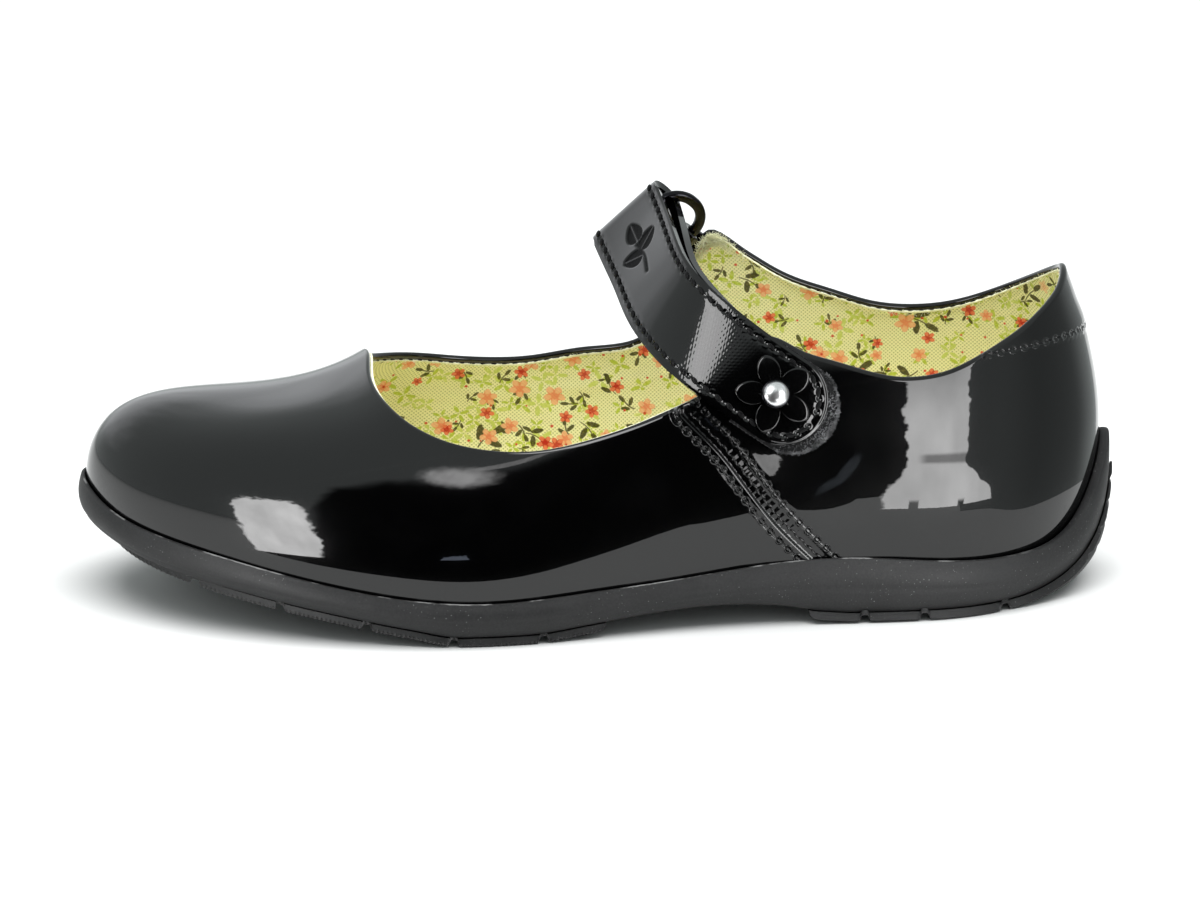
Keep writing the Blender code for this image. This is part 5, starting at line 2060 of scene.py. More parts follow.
@dataclass
class Strap:
    """Instep strap: two layers, cut edges, stitching and a pressed sprig."""

    form: StrapForm
    looks: Finishes
    inset: float = 1.75
    pitch: float = 2.55
    stitch_lean: float = 16.0    # in degrees
    sprig_place: tuple[float, float] = (12.4, 0.2)
    sprig_size: float = 7.2
    leaves: tuple[tuple[float, float, float], ...] = (
        # lean  foot  length, in radians and sizes of the sprig
        (0.0, -0.37, 0.42), (1.05, 0.03, 0.40), (-1.05, 0.28, 0.40))
    panel_place: float = 43.0    # middle of the textured panel, along the upper layer
    panel_half: float = 5.5

    def half_width(self, d: Array) -> Array:
        """Half of the ribbon's width, which rounds off at the tip.

        Args:
            d: Distances along the whole ribbon.

        Returns:
            Half of the width at each.
        """
        form = self.form
        back = np.clip((d - (form.whole - form.half)) / form.half, 0, 1)
        start = form.top_start
        narrow = np.interp(d, (0, start - 8, start, start + 1.0), (0.0, 0.0, 0.4, 0.0))
        return (form.half - narrow) * np.sqrt(np.maximum(1 - back**2, 0.0004))

    def distance_in(self, d: Array, b: Array) -> Array:
        """Distance from the strap's outline.

        Args:
            d: Distances along the whole ribbon.
            b: Distances from the strap's middle line.

        Returns:
            How far inside the outline each place lies.
        """
        form = self.form
        beyond = np.maximum(d - (form.whole - form.half), 0)
        return np.where(beyond > 0, form.half - np.hypot(beyond, b), form.half - np.abs(b))

    def sprig(self, t: Array, b: Array) -> Array:
        """Depth share of a plain three-leaved sprig pressed into the strap.

        Args:
            t: Distances along the upper layer.
            b: Distances from the strap's middle line.

        Returns:
            The share of the full depth at each place.
        """
        x, y = (t - self.sprig_place[0]) / self.sprig_size, (b - self.sprig_place[1]) / self.sprig_size
        depth = bell(np.abs(y - 0.05 * np.sin(4 * x)), 0.055) * step(x, -0.35, -0.25) * step(x, 1.05, 0.95)
        for lean, foot, length in self.leaves:
            cos, sin = math.cos(lean), math.sin(lean)
            p = (foot - x) * cos + y * sin - length * 0.9
            q = (x - foot) * sin + y * cos
            leaf = 1 - (p / length)**2 - (q / (0.29 * (1 - 0.35 * p / length)))**2
            depth = np.maximum(depth, step(leaf, 0.0, 0.28) - 0.6 * bell(q, 0.028) * (np.abs(p) < length))
        return depth

    def relief(self, d: Array, b: Array) -> Array:
        """Height of the strap's face: rolled edges, sewn channel and the pressed sprig.

        Args:
            d: Distances along the whole ribbon.
            b: Distances from the strap's middle line.

        Returns:
            The height at each place.
        """
        inside = self.distance_in(d, b)
        start = self.form.top_start
        upper = step(d, start - 4.5, start - 3.0)
        height = -0.16 * step(inside, 0.55, 0.0)
        tip = self.form.whole - self.form.half
        turn = np.arctan2(np.maximum(d - tip, 0), np.abs(b) + 1e-6)
        along = np.where(d < tip, d, tip + (self.form.half - self.inset) * turn)
        height += upper * stitch_relief(along, inside - self.inset, self.pitch, 0.22)
        height += upper * 0.05 * step(inside, self.inset, self.inset + 1.8)
        return height - 0.26 * self.sprig(d - start, b)

    def distance(self, u: Array) -> Array:
        """Distance along the ribbon of each column, closer at the fold and toward the tip.

        Args:
            u: Share of the way along the columns, 0 to 1.

        Returns:
            The distance of each column.
        """
        form = self.form
        tip = form.whole - form.half
        shares = (0.0, 0.20, 0.30, 0.88)
        places = (0.0, form.top_start - 10.0, form.top_start, tip)
        body = np.interp(u, shares, places)
        round_tip = tip + form.half * np.sin(np.clip((u - shares[-1]) / (1 - shares[-1]), 0, 1) * np.pi / 2)
        return np.where(u > shares[-1], round_tip, body)

    def surface(self, u: Array, v: Array) -> Array:
        """The strap's outer face.

        Args:
            u: Share of the way along the columns, 0 to 1.
            v: Share of the way along the rows, 0 to 1.

        Returns:
            Points in millimetres.
        """
        d = self.distance(u)
        b = (v * 2 - 1) * self.half_width(d)
        middle, across, normal = self.form.ribbon_frame(d)
        lift = self.form.thickness / 2 + self.relief(d, b)
        return middle + across * b[:, None] + normal * lift[:, None]

    def build_band(self) -> None:
        """Lays the strap's face and gives it its thickness, with bare fibre round the cut edge."""
        piece = Bench.drape("strap_band", 460, 96, self.surface)
        v, u = np.mgrid[0:1:97j, 0:1:461j]
        d = self.distance(u.ravel())
        b = (v.ravel() * 2 - 1) * self.half_width(d)
        t = d - self.form.top_start
        creased = bell(t - self.panel_place, self.panel_half)
        Bench.mark(piece, "press", np.stack([np.clip(self.sprig(t, b), 0, 1), creased, creased], axis=1))
        Bench.weld(piece)
        Bench.apply(piece, "SOLIDIFY", thickness=self.form.thickness * MM, offset=-1.0,
                    use_even_offset=False, material_offset=2, material_offset_rim=1)
        Bench.smooth(piece, 50)
        finishes = [self.looks.strap_patent, self.looks.cut_edge, self.looks.fleece]
        Bench.settle(piece, "patent", finishes, ("strap",))

    def row(self, along: Array, side: float) -> tuple[Array, Array]:
        """The line of the stitches on one side of the upper layer, up to the middle of the tip.

        Args:
            along: Distance along the line from the ribbon's start.
            side: 1 or -1.

        Returns:
            Its points and the strap's outward directions there.
        """
        tip, reach = self.form.whole - self.form.half, self.form.half - self.inset
        turn = np.maximum(along - tip, 0) / reach
        middle, across, normal = self.form.ribbon_frame(np.minimum(along, tip) + reach * np.sin(turn))
        points = middle + across * (side * reach * np.cos(turn))[:, None]
        return points + normal * (self.form.thickness / 2 + 0.03), normal

    def build_stitches(self) -> None:
        """Sews round the upper layer with a twisted thread."""
        form = self.form
        first = math.ceil((form.top_start - 3.2) / self.pitch)
        last = int((form.whole - form.half + (form.half - self.inset) * np.pi / 2) / self.pitch)
        along = (np.arange(first, last) + 0.5) * self.pitch
        lines = []
        for side in (1.0, -1.0):
            points, out = self.row(along, side)
            ahead = unit(self.row(along + 0.1, side)[0] - self.row(along - 0.1, side)[0]) * side
            lines.append((points, ahead, out))
        spots, ahead, out = (np.concatenate(parts) for parts in zip(*lines))
        turn = math.radians(self.stitch_lean)
        leaning = ahead * math.cos(turn) + np.cross(ahead, out) * math.sin(turn)
        piece = Bench.repeat("strap_stitches", Bench.bead(1.85, 0.95, 0.72), spots,
                             (leaning, np.cross(out, leaning), out))
        Bench.settle(piece, "patent", [self.looks.thread])

    def build(self) -> None:
        """Builds the strap."""
        self.build_band()
        self.build_stitches()


@dataclass
class LoopPatch:
    """Brushed patch on the quarter under the strap's tip."""

    form: StrapForm
    looks: Finishes
    thickness: float = 1.1
    beyond: float = 2.8      # how far it shows past the strap's tip
    wider: float = 0.3       # and past its sides
    fibres: int = 1700

    def surface(self, u: Array, v: Array) -> Array:
        """The patch's face.

        Args:
            u: Share of the way along the columns, 0 to 1.
            v: Share of the way along the rows, 0 to 1.

        Returns:
            Points in millimetres.
        """
        form = self.form
        end, half = form.length + self.beyond, form.half + self.wider
        begin, tip = form.knots[form.last_low] + 1.4, form.length + self.beyond - form.half - self.wider
        t = np.where(u < 0.4, begin + (tip - begin) * u / 0.4,
                     tip + half * np.sin(np.clip((u - 0.4) / 0.6, 0, 1) * np.pi / 2))
        back = np.clip((t - (end - half)) / half, 0, 1)
        b = (v * 2 - 1) * half * np.sqrt(np.maximum(1 - back**2, 0.0004))
        rough = 0.12 * np.sin(t * 9.1 + b * 3.3) * np.sin(b * 8.3 - t * 2.1)
        return form.point(t, b, -form.thickness / 2 - 0.35 + rough)

    def build(self) -> None:
        """Builds the patch and its loops."""
        base = Bench.drape("patch_base", 90, 44, self.surface)
        Bench.weld(base)
        Bench.apply(base, "SOLIDIFY", thickness=0.9 * MM, offset=-1.0)
        Bench.smooth(base, 60)
        rng = np.random.default_rng(11)
        u, v = rng.uniform(0.3, 1, self.fibres)**0.6, rng.uniform(0, 1, self.fibres)
        v = np.where(rng.uniform(size=self.fibres) < 0.55, np.round(v), v)
        spots = self.surface(u, v)
        normal = self.form.frame(np.array([self.form.length]))[3]
        ahead = unit(rng.normal(size=(self.fibres, 3)) * 0.9 + normal * 0.9)
        side = unit(np.cross(ahead, rng.normal(size=(self.fibres, 3))))
        sizes = np.ones((self.fibres, 3))
        sizes[:, 0] = rng.uniform(0.5, 1.2, self.fibres)
        loops = Bench.repeat("patch_loops", Bench.bead(1.0, 0.10, 0.10, 4, 4), spots + ahead * 0.15,
                             (ahead, side, np.cross(ahead, side)), sizes)
        Bench.settle(base, "fleece", [self.looks.fleece], ("loop_patch",))
        Bench.settle(loops, "fleece", [self.looks.cut_edge])


@dataclass
class RingAndChape:
    """Flattened ring that the strap folds round, and the short loop that holds it."""

    form: StrapForm
    last: Last
    looks: Finishes
    half_length: float = 10.3
    half_depth: float = 5.3
    corner: float = 5.0
    wire: tuple[float, float] = (1.05, 0.75)     # half sizes in the ring's plane and across it
    roundness: float = 0.6       # power that squares the wire's section below 1
    chape: float = 1.1
    chape_half: float = 5.6
    stitch_pitch: float = 2.3

    def ring_surface(self, u: Array, v: Array) -> Array:
        """The ring's closed surface.

        Args:
            u: Share of the way along the columns, 0 to 1.
            v: Share of the way along the rows, 0 to 1.

        Returns:
            Points in millimetres.
        """
        bar, long, hang, face = self.form.ring_frame()
        centre = bar + hang * self.half_depth
        flat, rise = self.half_length - self.corner, self.half_depth - self.corner
        arc = self.corner * np.pi / 2
        edges = np.cumsum([0, 2 * rise, arc, 2 * flat, arc, 2 * rise, arc, 2 * flat, arc])
        d = (u % 1) * edges[-1]
        part = np.clip(np.searchsorted(edges, d, side="right") - 1, 0, 7)
        local = d - edges[part]
        quarter = part // 2
        bend = np.where(part % 2 == 1, local / self.corner, 0.0)
        angle = quarter * np.pi / 2 + bend
        corners = np.array(((flat, rise), (-flat, rise), (-flat, -rise), (flat, -rise)))
        before = corners[(quarter - 1) % 4]
        straight = np.where((part % 2 == 0)[:, None],
                            before + local[:, None] * np.stack([-np.sin(angle), np.cos(angle)], 1),
                            corners[quarter])
        way = np.stack([np.cos(angle), np.sin(angle)], 1)
        turn = v * 2 * np.pi
        inplane = self.wire[0] * np.sign(np.cos(turn)) * np.abs(np.cos(turn))**self.roundness
        cross = self.wire[1] * np.sign(np.sin(turn)) * np.abs(np.sin(turn))**self.roundness
        flat_spot = straight + way * (self.corner + inplane)[:, None]
        return centre + long * flat_spot[:, :1] + hang * flat_spot[:, 1:] + face * cross[:, None]

    def chape_surface(self, u: Array, v: Array) -> Array:
        """Middle of the loop's leather, down the quarter and round the ring's lower bar.

        Args:
            u: Share of the way along the columns, 0 to 1.
            v: Share of the way along the rows, 0 to 1.

        Returns:
            Points in millimetres.
        """
        bar, long, hang, _ = self.form.ring_frame()
        low_bar = bar + hang * 2 * self.half_depth
        radius = self.wire[0] + 0.3 + self.chape / 2
        table = np.array(CHAPE_LEG)
        normals = self.last.normal(table[:, 0], table[:, 1])
        leg = self.last.point(table[:, 0], table[:, 1]) + normals * table[:, 2:3]
        face = unit(np.cross(long, hang))
        face = face if face[1] > 0 else -face
        turn = np.radians(np.linspace(0, 200, 9))[:, None]
        loop = low_bar + radius * (face * np.cos(turn) - hang * np.sin(turn))
        middles = np.vstack([leg, loop])
        flat = unit(long - normals * (normals @ long)[:, None])
        acrosses = np.vstack([flat, np.tile(long, (len(loop), 1))])
        run = run_length(middles)
        row = spline(run, np.hstack([middles, acrosses]))(u * run[-1])
        return row[:, :3] + unit(row[:, 3:]) * ((v * 2 - 1) * self.chape_half)[:, None]

    def build(self) -> None:
        """Builds the ring and the loop."""
        ring = Bench.drape("ring_flat", 200, 20, self.ring_surface)
        Bench.weld(ring, turn_out=True)
        Bench.smooth(ring, 50)
        Bench.settle(ring, "ring_metal", [self.looks.gunmetal], ("ring",))
        loop = Bench.drape("ring_loop", 70, 24, self.chape_surface)
        Bench.apply(loop, "SOLIDIFY", thickness=self.chape * MM, offset=0.0, material_offset_rim=1)
        Bench.apply(loop, "BEVEL", width=0.2 * MM, segments=2, limit_method="ANGLE")
        Bench.smooth(loop, 50)
        Bench.settle(loop, "patent", [self.looks.patent, self.looks.cut_edge], ("ring_tab",))
        self.build_loop_stitches()

    def build_loop_stitches(self) -> None:
        """Sews the loop's leg down both sides."""
        rows = []
        for side in (0.14, 0.86):
            u, v = np.linspace(0.04, 0.52, 60), np.full(60, side)
            line = self.chape_surface(u, v)
            along, across = self.chape_surface(u + 0.01, v) - line, self.chape_surface(u, v + 0.05) - line
            out = unit(np.cross(along, across))
            out = out * np.sign(out @ np.array((0.0, 1.0, 0.3)))[:, None]
            course = Course(line + out * (self.chape / 2 + 0.02), out)
            spots, ahead, out = course.at(np.arange(1.0, 30.0, self.stitch_pitch))
            rows.append(Bench.repeat("loop_row", Bench.bead(1.7, 0.7, 0.5), spots,
                                     (ahead, np.cross(out, ahead), out)))
        Bench.settle(Bench.join("loop_stitches", rows), "patent", [self.looks.thread])


@dataclass
class FlowerTrim:
    """Cut flower and domed rivet near the strap's tip."""

    form: StrapForm
    looks: Finishes
    radius: float = 7.6
    thickness: float = 0.8
    from_tip: float = 10.4
    turn: float = -0.07      # in radians
    notch: float = 0.30      # share of the radius that is left between two petals
    seat: float = 0.32       # gap between the flower and the strap's face
    cut: float = 0.90        # share of the rows at which the bare edge begins
    rivet_radius: float = 2.4
    rivet_height: float = 1.5
    rim_radius: float = 0.28     # of the rivet's rim

    def petals(self, u: Array, v: Array) -> Array:
        """The flower's face, from its middle out and over the cut edge.

        Args:
            u: Share of the way along the columns, 0 to 1.
            v: Share of the way along the rows, 0 to 1.

        Returns:
            Points in millimetres.
        """
        angle = u * 2 * np.pi
        fifth = (angle - self.turn) / (0.4 * np.pi)
        aside = np.abs(fifth - np.round(fifth)) * 2
        lobe = 1 - aside
        reach = self.radius * (self.notch + (1 - self.notch) * (1 - aside**1.45)**0.66)
        share = np.minimum(v / self.cut, 1.0)
        over = np.clip((v - self.cut) / (1 - self.cut), 0, 1)
        radius = reach * share * (0.94 + 0.06 * np.minimum(over * 2, 1))
        crease = 0.04 * bell(1 - lobe, 0.10) * share * (1 - share) * 4
        lean = np.sin(5 * (angle - self.turn))
        hatch = 0.05 * np.sin(radius * 8 + lean * 5) * bell(share - 0.42, 0.12) * bell(1 - lobe, 0.35)
        dome = 0.10 * np.sin(np.clip(share, 0, 1) * np.pi) * lobe
        lift = (self.form.thickness / 2 + self.seat + self.thickness * (1 - 0.9 * np.clip(over * 2 - 1, 0, 1))
                - 0.10 * np.minimum(over * 2, 1) + dome - crease + hatch)
        t = self.form.length - self.from_tip + radius * np.cos(angle)
        return self.form.point(t, radius * np.sin(angle), lift)

    def build(self) -> None:
        """Builds the flower and the rivet."""
        columns, rows = 240, 30
        flower = Bench.drape("flower_cut", columns, rows, self.petals)
        first_cut = int(self.cut * rows)
        marks = np.repeat(np.arange(rows) >= first_cut, columns).astype(np.int32)
        flower.data.polygons.foreach_set("material_index", marks)
        Bench.weld(flower, turn_out=True)
        Bench.smooth(flower, 60)
        Bench.settle(flower, "patent", [self.looks.strap_patent, self.looks.cut_edge], ("flower",))
        self.build_rivet()

    def build_rivet(self) -> None:
        """Turns the domed rivet and its rim."""
        spot = np.array([self.form.length - self.from_tip])
        middle, run, across, normal, _ = self.form.frame(spot)
        base = middle + normal * (self.form.thickness / 2 + self.thickness + 0.45)
        Bench.clear()
        bpy.ops.mesh.primitive_uv_sphere_add(segments=48, ring_count=24, radius=self.rivet_radius * MM)
        dome = Bench.named("dome")
        bpy.ops.object.mode_set(mode="EDIT")
        bpy.ops.mesh.select_all(action="SELECT")
        bpy.ops.mesh.bisect(plane_co=(0, 0, 0.05 * MM), plane_no=(0, 0, 1), clear_inner=True,
                            use_fill=True)
        bpy.ops.mesh.select_all(action="SELECT")
        bpy.ops.transform.resize(value=(1, 1, self.rivet_height / self.rivet_radius))
        bpy.ops.object.mode_set(mode="OBJECT")
        Bench.clear()
        bpy.ops.mesh.primitive_torus_add(major_radius=self.rivet_radius * MM,
                                         minor_radius=self.rim_radius * MM,
                                         major_segments=48, minor_segments=12)
        rim = Bench.named("rim")
        axes = (run, across, normal)
        steel = Bench.repeat("rivet_domed", dome, base, axes)
        Bench.smooth(steel, 50)
        Bench.settle(steel, "metal", [self.looks.steel], ("rivet",))
        Bench.settle(Bench.repeat("rivet_rim", rim, base, axes), "ring_metal", [self.looks.gunmetal])


class Outline(Enum):
    """Shape of a glowing card."""

    BLOB = "blob"
    STREAK = "streak"
    SOFT = "soft"
    STAND = "stand"


@dataclass(frozen=True)
class Card:
    """A glowing card that only gloss sees, placed by where its reflection falls on the shoe."""

    name: str
    seen_at: tuple[float, float]     # (s, w) on the upper, or along and across the strap
    size: tuple[float, float]
    radiance: float
    distance: float
    outline: Outline
    roll: float = 0.0
    tint: Colour = WHITE


def toward(azimuth: float, elevation: float = 0.0) -> Array:
    """The direction from the shoe to what stands at these angles in degrees, 0 being before it."""
    a, e = math.radians(azimuth), math.radians(elevation)
    return np.array((math.sin(a) * math.cos(e), -math.cos(a) * math.cos(e), math.sin(e)))


@dataclass
class Studio:
    """Pale floor, white surround, dark front and the camera."""

    last: Last
    form: StrapForm
    elevation: float = 17.5
    azimuth: float = -3.7
    distance: float = 1300.0
    target: tuple[float, float, float] = (0.686, 1.158, 26.6)
    lens: float = 202.37
    sensor: float = 36.0
    surround: float = 0.66
    surround_tint: Colour = (0.93, 1.0, 0.99)
    floor_size: float = 6.0                                  # in metres
    floor_tone: float = 0.68
    lamp_place: tuple[float, float, float] = (0.12, -0.22, 1.12)     # in metres
    lamp_size: tuple[float, float] = (1.5, 1.2)              # in metres
    lamp_strength: float = 5.0
    cloth_front: float = -118.0      # y at which the dark cloth turns up
    cloth_height: float = 120.0
    cloth_fade: tuple[float, float] = (0.116, 0.092)         # height in metres where it is gone, and whole
    cloth_left: tuple[float, float] = (-0.094, -0.082)       # the same in x
    # edge of the dark cloth that lies before the shoe, as x and y
    cloth_edge: tuple[tuple[float, float], ...] = (
        (-110.0, -67.0), (-50.0, -65.0), (0.0, -64.0), (20.0, -71.0), (36.0, -85.0),
        (52.0, -106.0), (64.0, -114.0), (109.0, -117.0))
    heel_centre: tuple[float, float] = (70.0, -10.0)
    heel_reach: float = 125.0        # distance from there at which the grey cloth turns up
    heel_height: float = 170.0
    heel_lights: tuple[float, float, float] = (0.57, -0.17, 0.22)    # of the grey cloth, and its two changes
    # edge of the grey cloth round the heel, as direction and distance from its centre
    heel_edge: tuple[tuple[float, float], ...] = (
        (18.0, 64.0), (33.0, 61.0), (42.0, 57.0), (68.0, 58.0), (90.0, 66.0), (135.0, 82.0))
    cards: tuple[Card, ...] = (
        Card("toe_glint", (11.5, 0.31), (35.0, 62.0), 11.0, 54.0, Outline.BLOB, -14.0),
        Card("vamp_glint", (19.1, 0.63), (46.0, 25.0), 5.4, 78.0, Outline.SOFT, 24.0),
        Card("throat_streak", (21.4, 0.665), (32.0, 5.0), 2.6, 78.0, Outline.STREAK, 10.0),
        Card("blue_glint", (19.4, 0.275), (18.0, 16.0), 2.0, 75.0, Outline.BLOB, -10.0, (0.70, 0.80, 1.0)),
        Card("joint_glint", (33.3, 0.43), (9.0, 11.0), 4.2, 36.0, Outline.BLOB, 12.0),
        Card("quarter_streak", (36.6, 0.38), (2.6, 17.0), 0.5, 36.0, Outline.STREAK, 16.0, (0.78, 0.88, 1.0)),
    )
    strap_card: Card = Card("strap_glint", (43.0, 0.5), (37.0, 37.0), 7.8, 43.0, Outline.BLOB)
    stand_place: tuple[float, float, float] = (89.0, -79.5, 42.0)
    stand_azimuth: float = 25.0
    stand_size: tuple[float, float] = (60.0, 84.0)
    stand_radiance: float = 9.2
    window_azimuth: float = -146.0
    window_elevation: float = 27.0
    window_distance: float = 380.0
    window_size: tuple[float, float] = (640.0, 330.0)
    window_radiance: float = 1.55
    window_tint: Colour = (0.95, 0.975, 1.0)

    def look(self) -> Array:
        """The way the camera looks."""
        return -toward(self.azimuth, self.elevation)

    def camera_place(self) -> Array:
        """Where the camera stands, in millimetres."""
        return np.array(self.target) - self.look() * self.distance

    def set_camera(self) -> None:
        """Adds the camera."""
        Bench.clear()
        bpy.ops.object.camera_add(location=(self.camera_place() * MM).tolist())
        camera = bpy.context.object
        camera.name = "camera"
        camera.rotation_euler = Vector(self.look()).to_track_quat("-Z", "Y").to_euler()
        camera.data.lens = self.lens
        camera.data.sensor_width = self.sensor
        camera.data.clip_start, camera.data.clip_end = 0.05, 50.0
        bpy.context.scene.camera = camera

    def light_surround(self) -> None:
        """Fills the room with an even white light, and adds a wide soft lamp overhead for what is matt."""
        world = bpy.data.worlds.new("surround")
        world.use_nodes = True
        back = world.node_tree.nodes["Background"]
        back.inputs["Color"].default_value = (*self.surround_tint, 1.0)
        back.inputs["Strength"].default_value = self.surround
        bpy.context.scene.world = world
        bpy.context.scene.view_settings.view_transform = "Standard"
        Bench.clear()
        bpy.ops.object.light_add(type="AREA", location=self.lamp_place)
        lamp = bpy.context.object
        lamp.name = lamp.data.name = "overhead"
        width, depth = self.lamp_size
        lamp.data.shape, lamp.data.size, lamp.data.size_y = "RECTANGLE", width, depth
        lamp.data.energy = self.lamp_strength * math.pi * width * depth
        lamp.visible_glossy = lamp.visible_camera = False

    def lay_floor(self) -> None:
        """Lays the pale floor."""
        Bench.clear()
        bpy.ops.mesh.primitive_plane_add(size=self.floor_size)
        floor = Bench.named("floor")
        g = Graph("floor_paint")
        g.matt((self.floor_tone,) * 3)
        floor.data.materials.append(g.material)

    def hide(self, piece: bpy.types.Object) -> None:
        """Lets only gloss see a piece of the studio.

        Args:
            piece: The piece.
        """
        for way in ("camera", "diffuse", "transmission", "shadow", "volume_scatter"):
            setattr(piece, f"visible_{way}", False)

    def hang_flag(self) -> None:
        """Lays a dark cloth before the shoe and up behind it, which only gloss can see."""
        edge = np.array(self.cloth_edge)

        def cloth(u: Array, v: Array) -> Array:
            """The cloth's surface: over the floor, then up.

            Args:
                u: Share of the way along the columns, 0 to 1.
                v: Share of the way along the rows, 0 to 1.

            Returns:
                Points in millimetres.
            """
            x = edge[0, 0] + u * (edge[-1, 0] - edge[0, 0])
            near = spline(edge[:, 0], edge[:, 1:])(x)[:, 0]
            flat = np.clip(v / 0.4, 0, 1)
            y = near + (self.cloth_front - near) * flat
            return np.stack([x, y, 0.4 + self.cloth_height * np.clip((v - 0.4) / 0.6, 0, 1)], axis=1)

        flag = Bench.drape("flag", 80, 50, cloth)
        g = Graph("flag_cloth")
        x, y, z = g.parts(g.object_place())
        wander = (g.noise(g.object_place(), 40.0, 2.0) - 0.5) * 0.03
        top = g.smooth(z + wander, *self.cloth_fade)
        left = g.smooth(x + wander - y * 0.15, *self.cloth_left)
        g.matt(BLACK, Alpha=top * left)
        flag.data.materials.append(g.material)
        self.hide(flag)

    def hang_heel_cloth(self) -> None:
        """Lays a grey cloth round the heel and up behind it, which only gloss can see."""
        edge = np.array(self.heel_edge)

        def cloth(u: Array, v: Array) -> Array:
            """The cloth's surface: over the floor, then up.

            Args:
                u: Share of the way along the columns, 0 to 1.
                v: Share of the way along the rows, 0 to 1.

            Returns:
                Points in millimetres.
            """
            way = edge[0, 0] + u * (edge[-1, 0] - edge[0, 0])
            near = spline(edge[:, 0], edge[:, 1:])(way)[:, 0]
            far = near + (self.heel_reach - near) * np.clip(v / 0.4, 0, 1)
            turn = np.radians(way)
            x, y = self.heel_centre
            return np.stack([x + far * np.sin(turn), y - far * np.cos(turn),
                             0.5 + self.heel_height * np.clip((v - 0.4) / 0.6, 0, 1)], axis=1)

        def chart(u: Array, v: Array) -> Array:
            """Direction, and share of the way out and up."""
            return np.stack([edge[0, 0] + u * (edge[-1, 0] - edge[0, 0]), v], axis=1)

        piece = Bench.drape("heel_cloth", 60, 40, cloth, chart)
        g = Graph("heel_cloth")
        way, share, _ = g.parts(g.cloth_place())
        plain, beside, behind = self.heel_lights
        light = g.smooth(way, 36.0, 66.0) * beside + g.smooth(way, 96.0, 118.0) * behind + plain
        g.matt(BLACK, Emission_Color=self.surround_tint, Emission_Strength=light,
               Alpha=g.smooth(share, 1.0, 0.80))
        piece.data.materials.append(g.material)
        self.hide(piece)

    def stand_outline(self, g: Graph, u: Field, v: Field, ragged: Field) -> tuple[Field, Field]:
        """Outline of the tall card beside the heel, which widens to a foot with two slits.

        Args:
            g: The material's nodes.
            u: Place across the card, 0 to 1.
            v: Place up the card, 0 to 1.
            ragged: How far its edge strays.

        Returns:
            What shows of the card, and how bright it is there for the dark band across it.
        """
        slits = ((0.19, 0.03, 0.06), (0.58, 0.02, 0.05))     # place across, and where each ends
        base = g.smooth(v, 0.33, 0.03)
        left = u + ragged - 0.11 + base * 0.095 + g.smooth(v, 0.80, 0.98) * 0.03
        right = base * 0.30 + 0.595 + ragged - u
        mask = g.smooth(left, 0.0, 0.02) * g.smooth(right, 0.0, 0.02) * g.smooth(v, 0.98, 0.93)
        for place, low, high in slits:
            beside = g.smooth((u - place).do("ABSOLUTE"), 0.025, 0.035)
            mask = mask * beside.do("MAXIMUM", g.smooth(v, low, high))
        band = g.smooth((v - 0.325 + (u - 0.4) * 0.06).do("ABSOLUTE"), 0.045, 0.015) * g.smooth(u, 0.18, 0.26)
        return mask, (band * -0.62 + 1.0) * (g.smooth(v, 1.0, 0.5) * 0.35 + 0.65)

    def glow(self, name: str, outline: Outline, radiance: float, size: tuple[float, float],
             tint: Colour = WHITE) -> bpy.types.Material:
        """The light of a card, with its outline and the folds of its cloth.

        Args:
            name: Name of the material.
            outline: The card's shape.
            radiance: How bright it is against the surround.
            size: Width and height.
            tint: Its colour.

        Returns:
            The material.
        """
        g = Graph(name)
        u, v, _ = g.parts(g.cloth_place())
        place = g.vector(u * (size[0] * MM), v * (size[1] * MM))
        ragged = (g.noise(place, 0.16 * min(size), 3.0) - 0.5) * 0.42
        a, b = (u * 2.0 - 1.0), (v * 2.0 - 1.0)
        folds = g.noise(place, 0.35 * min(size), 3.0, (1.0, 0.45, 1.0)) * 0.9 + 0.5
        if outline is Outline.STAND:
            mask, light = self.stand_outline(g, u, v, ragged * 0.36)
            folds = folds * light
        elif outline is Outline.BLOB:
            radius = ((a * a * a * a) + (b * b * b * b)).do("POWER", 0.25)
            mask = g.smooth(radius + ragged, 0.92, 0.80)
        else:
            fall = 0.55 if outline is Outline.STREAK else 0.30
            mask = g.smooth((a * a + b * b).do("SQRT") + ragged * 0.8, 1.0, fall)
        g.matt(BLACK, Emission_Color=tint, Emission_Strength=folds * radiance, Alpha=mask)
        return g.material

    def stand(self, name: str, centre: Array, way: Array, size: tuple[float, float], roll: float,
              light: bpy.types.Material) -> None:
        """Stands a card that faces back along a direction.

        Args:
            name: Name of the card.
            centre: Its middle.
            way: The direction from the shoe to it.
            size: Its width and height.
            roll: Turn in its own plane, in degrees.
            light: Its material.
        """
        side = unit(np.cross(way, UP))
        rise = np.cross(side, way)
        turn = math.radians(roll)
        cos, sin = math.cos(turn), math.sin(turn)
        side, rise = side * cos + rise * sin, rise * cos - side * sin

        def sheet(u: Array, v: Array) -> Array:
            """The card's plane."""
            x, y = (u - 0.5) * size[0], (v - 0.5) * size[1]
            return centre - PLACE - side * x[:, None] + rise * y[:, None]

        def chart(u: Array, v: Array) -> Array:
            """Its own coordinates, from 0 to 1, as seen from the shoe."""
            return np.stack([u, v], axis=1)

        card = Bench.drape(name, 2, 2, sheet, chart)
        card.data.materials.append(light)
        self.hide(card)

    def mirrored(self, spot: Array, normal: Array) -> Array:
        """The direction in which the camera's view goes on from a spot of the shoe."""
        view = unit(spot - self.camera_place())
        return view - 2 * (view @ normal) * normal

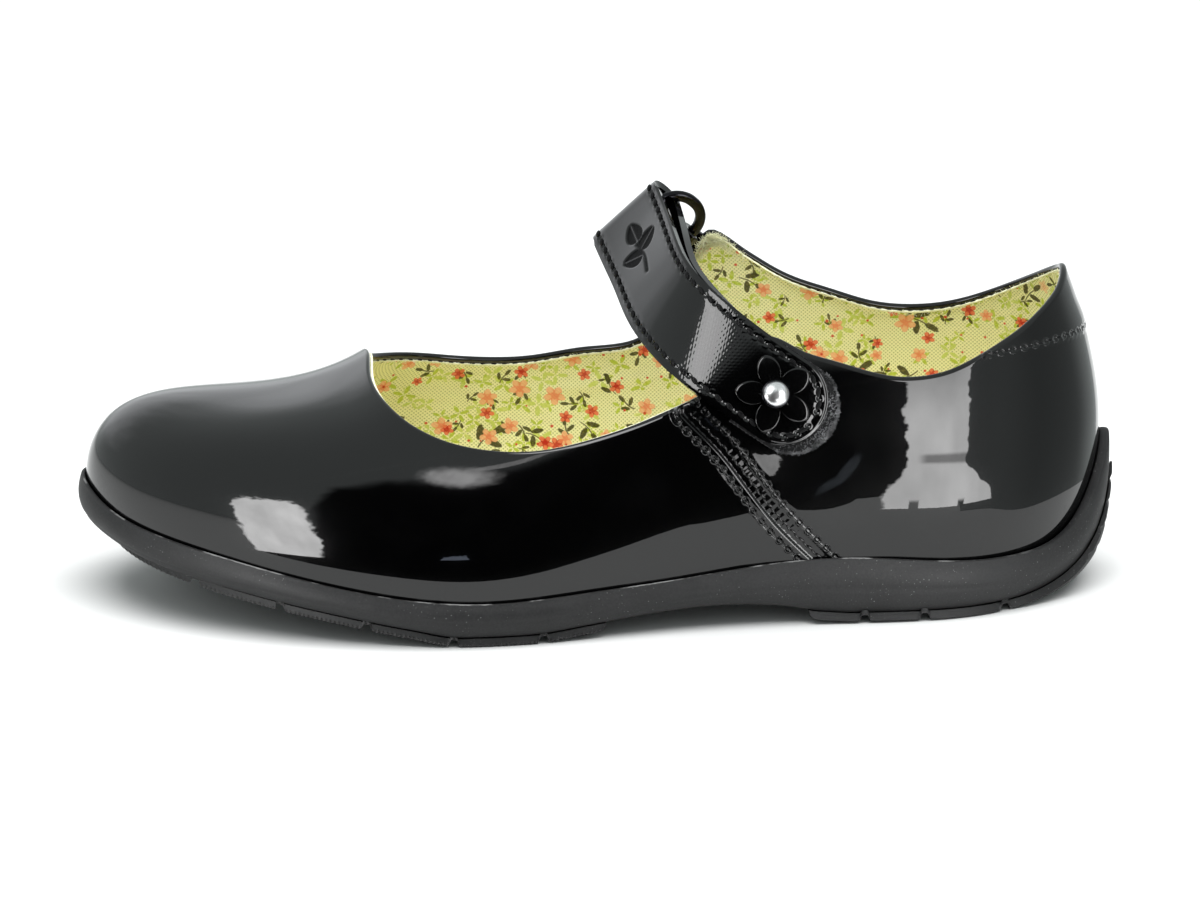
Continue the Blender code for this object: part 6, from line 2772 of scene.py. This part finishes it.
    def hang(self, card: Card, spot: Array, normal: Array) -> None:
        """Hangs a card so that its reflection falls on a spot of the shoe.

        Args:
            card: The card.
            spot: The spot.
            normal: The shoe's outward direction there.
        """
        way = self.mirrored(spot, normal)
        light = self.glow(card.name, card.outline, card.radiance, card.size, card.tint)
        self.stand(card.name, spot + way * card.distance, way, card.size, card.roll, light)

    def hang_cards(self) -> None:
        """Hangs the cards round the shoe."""
        for card in self.cards:
            s, w = np.array([card.seen_at[0]]), np.array([card.seen_at[1]])
            self.hang(card, self.last.point(s, w)[0] + PLACE, self.last.normal(s, w)[0])
        light = self.glow("heel_stand", Outline.STAND, self.stand_radiance, self.stand_size)
        self.stand("heel_stand", np.array(self.stand_place), toward(self.stand_azimuth), self.stand_size,
                   0.0, light)
        t, b = np.array([self.strap_card.seen_at[0]]), np.array([self.strap_card.seen_at[1]])
        spot = self.form.point(t, b, self.form.thickness / 2)[0] + PLACE
        self.hang(self.strap_card, spot, self.form.frame(t)[3][0])
        light = self.glow("back_window", Outline.SOFT, self.window_radiance, self.window_size,
                          self.window_tint)
        way = toward(self.window_azimuth, self.window_elevation)
        self.stand("back_window", way * self.window_distance, way, self.window_size, 0.0, light)

    def build(self) -> None:
        """Sets up the whole studio."""
        self.set_camera()
        self.light_surround()
        self.lay_floor()
        self.hang_flag()
        self.hang_heel_cloth()
        self.hang_cards()


def heel_climb(s: Array) -> Array:
    """How far the heel tread climbs the sole's wall: highest behind the heel."""
    return 0.10 + 0.78 * np.clip(1 - np.abs(s - HEEL) / 6.5, 0, 1)


def toe_climb(s: Array) -> Array:
    """How far the forefoot tread climbs the sole's wall."""
    return np.full(len(s), 0.06)


def main() -> None:
    """Builds the shoe and the studio."""
    logging.basicConfig(level=logging.INFO, format="%(name)s: %(message)s")
    last, form = Last(), StrapForm()
    Studio(last, form).build()
    looks = Finishes.make()
    Upper(last, looks).build()
    Insole(last, looks).build()
    CupSole(last, looks).build()
    Tread("forefoot_tread", "tread_forefoot", last, looks, first=1.23, end=25.9, climb=toe_climb,
          grooves=(-78.0, -62.2, -46.0, -29.7, -12.7), tooth=0.22).build()
    Tread("heel_tread", "tread_heel", last, looks, first=34.95, end=HEEL, climb=heel_climb,
          grooves=(49.0, 60.5, 76.5), scallops=(19.5, 15.7, 11.5, 7.4), columns=420,
          rows=(6, 60, 5)).build()
    Strap(form, looks).build()
    LoopPatch(form, looks).build()
    RingAndChape(form, last, looks).build()
    FlowerTrim(form, looks).build()


if __name__ == "__main__":
    main()
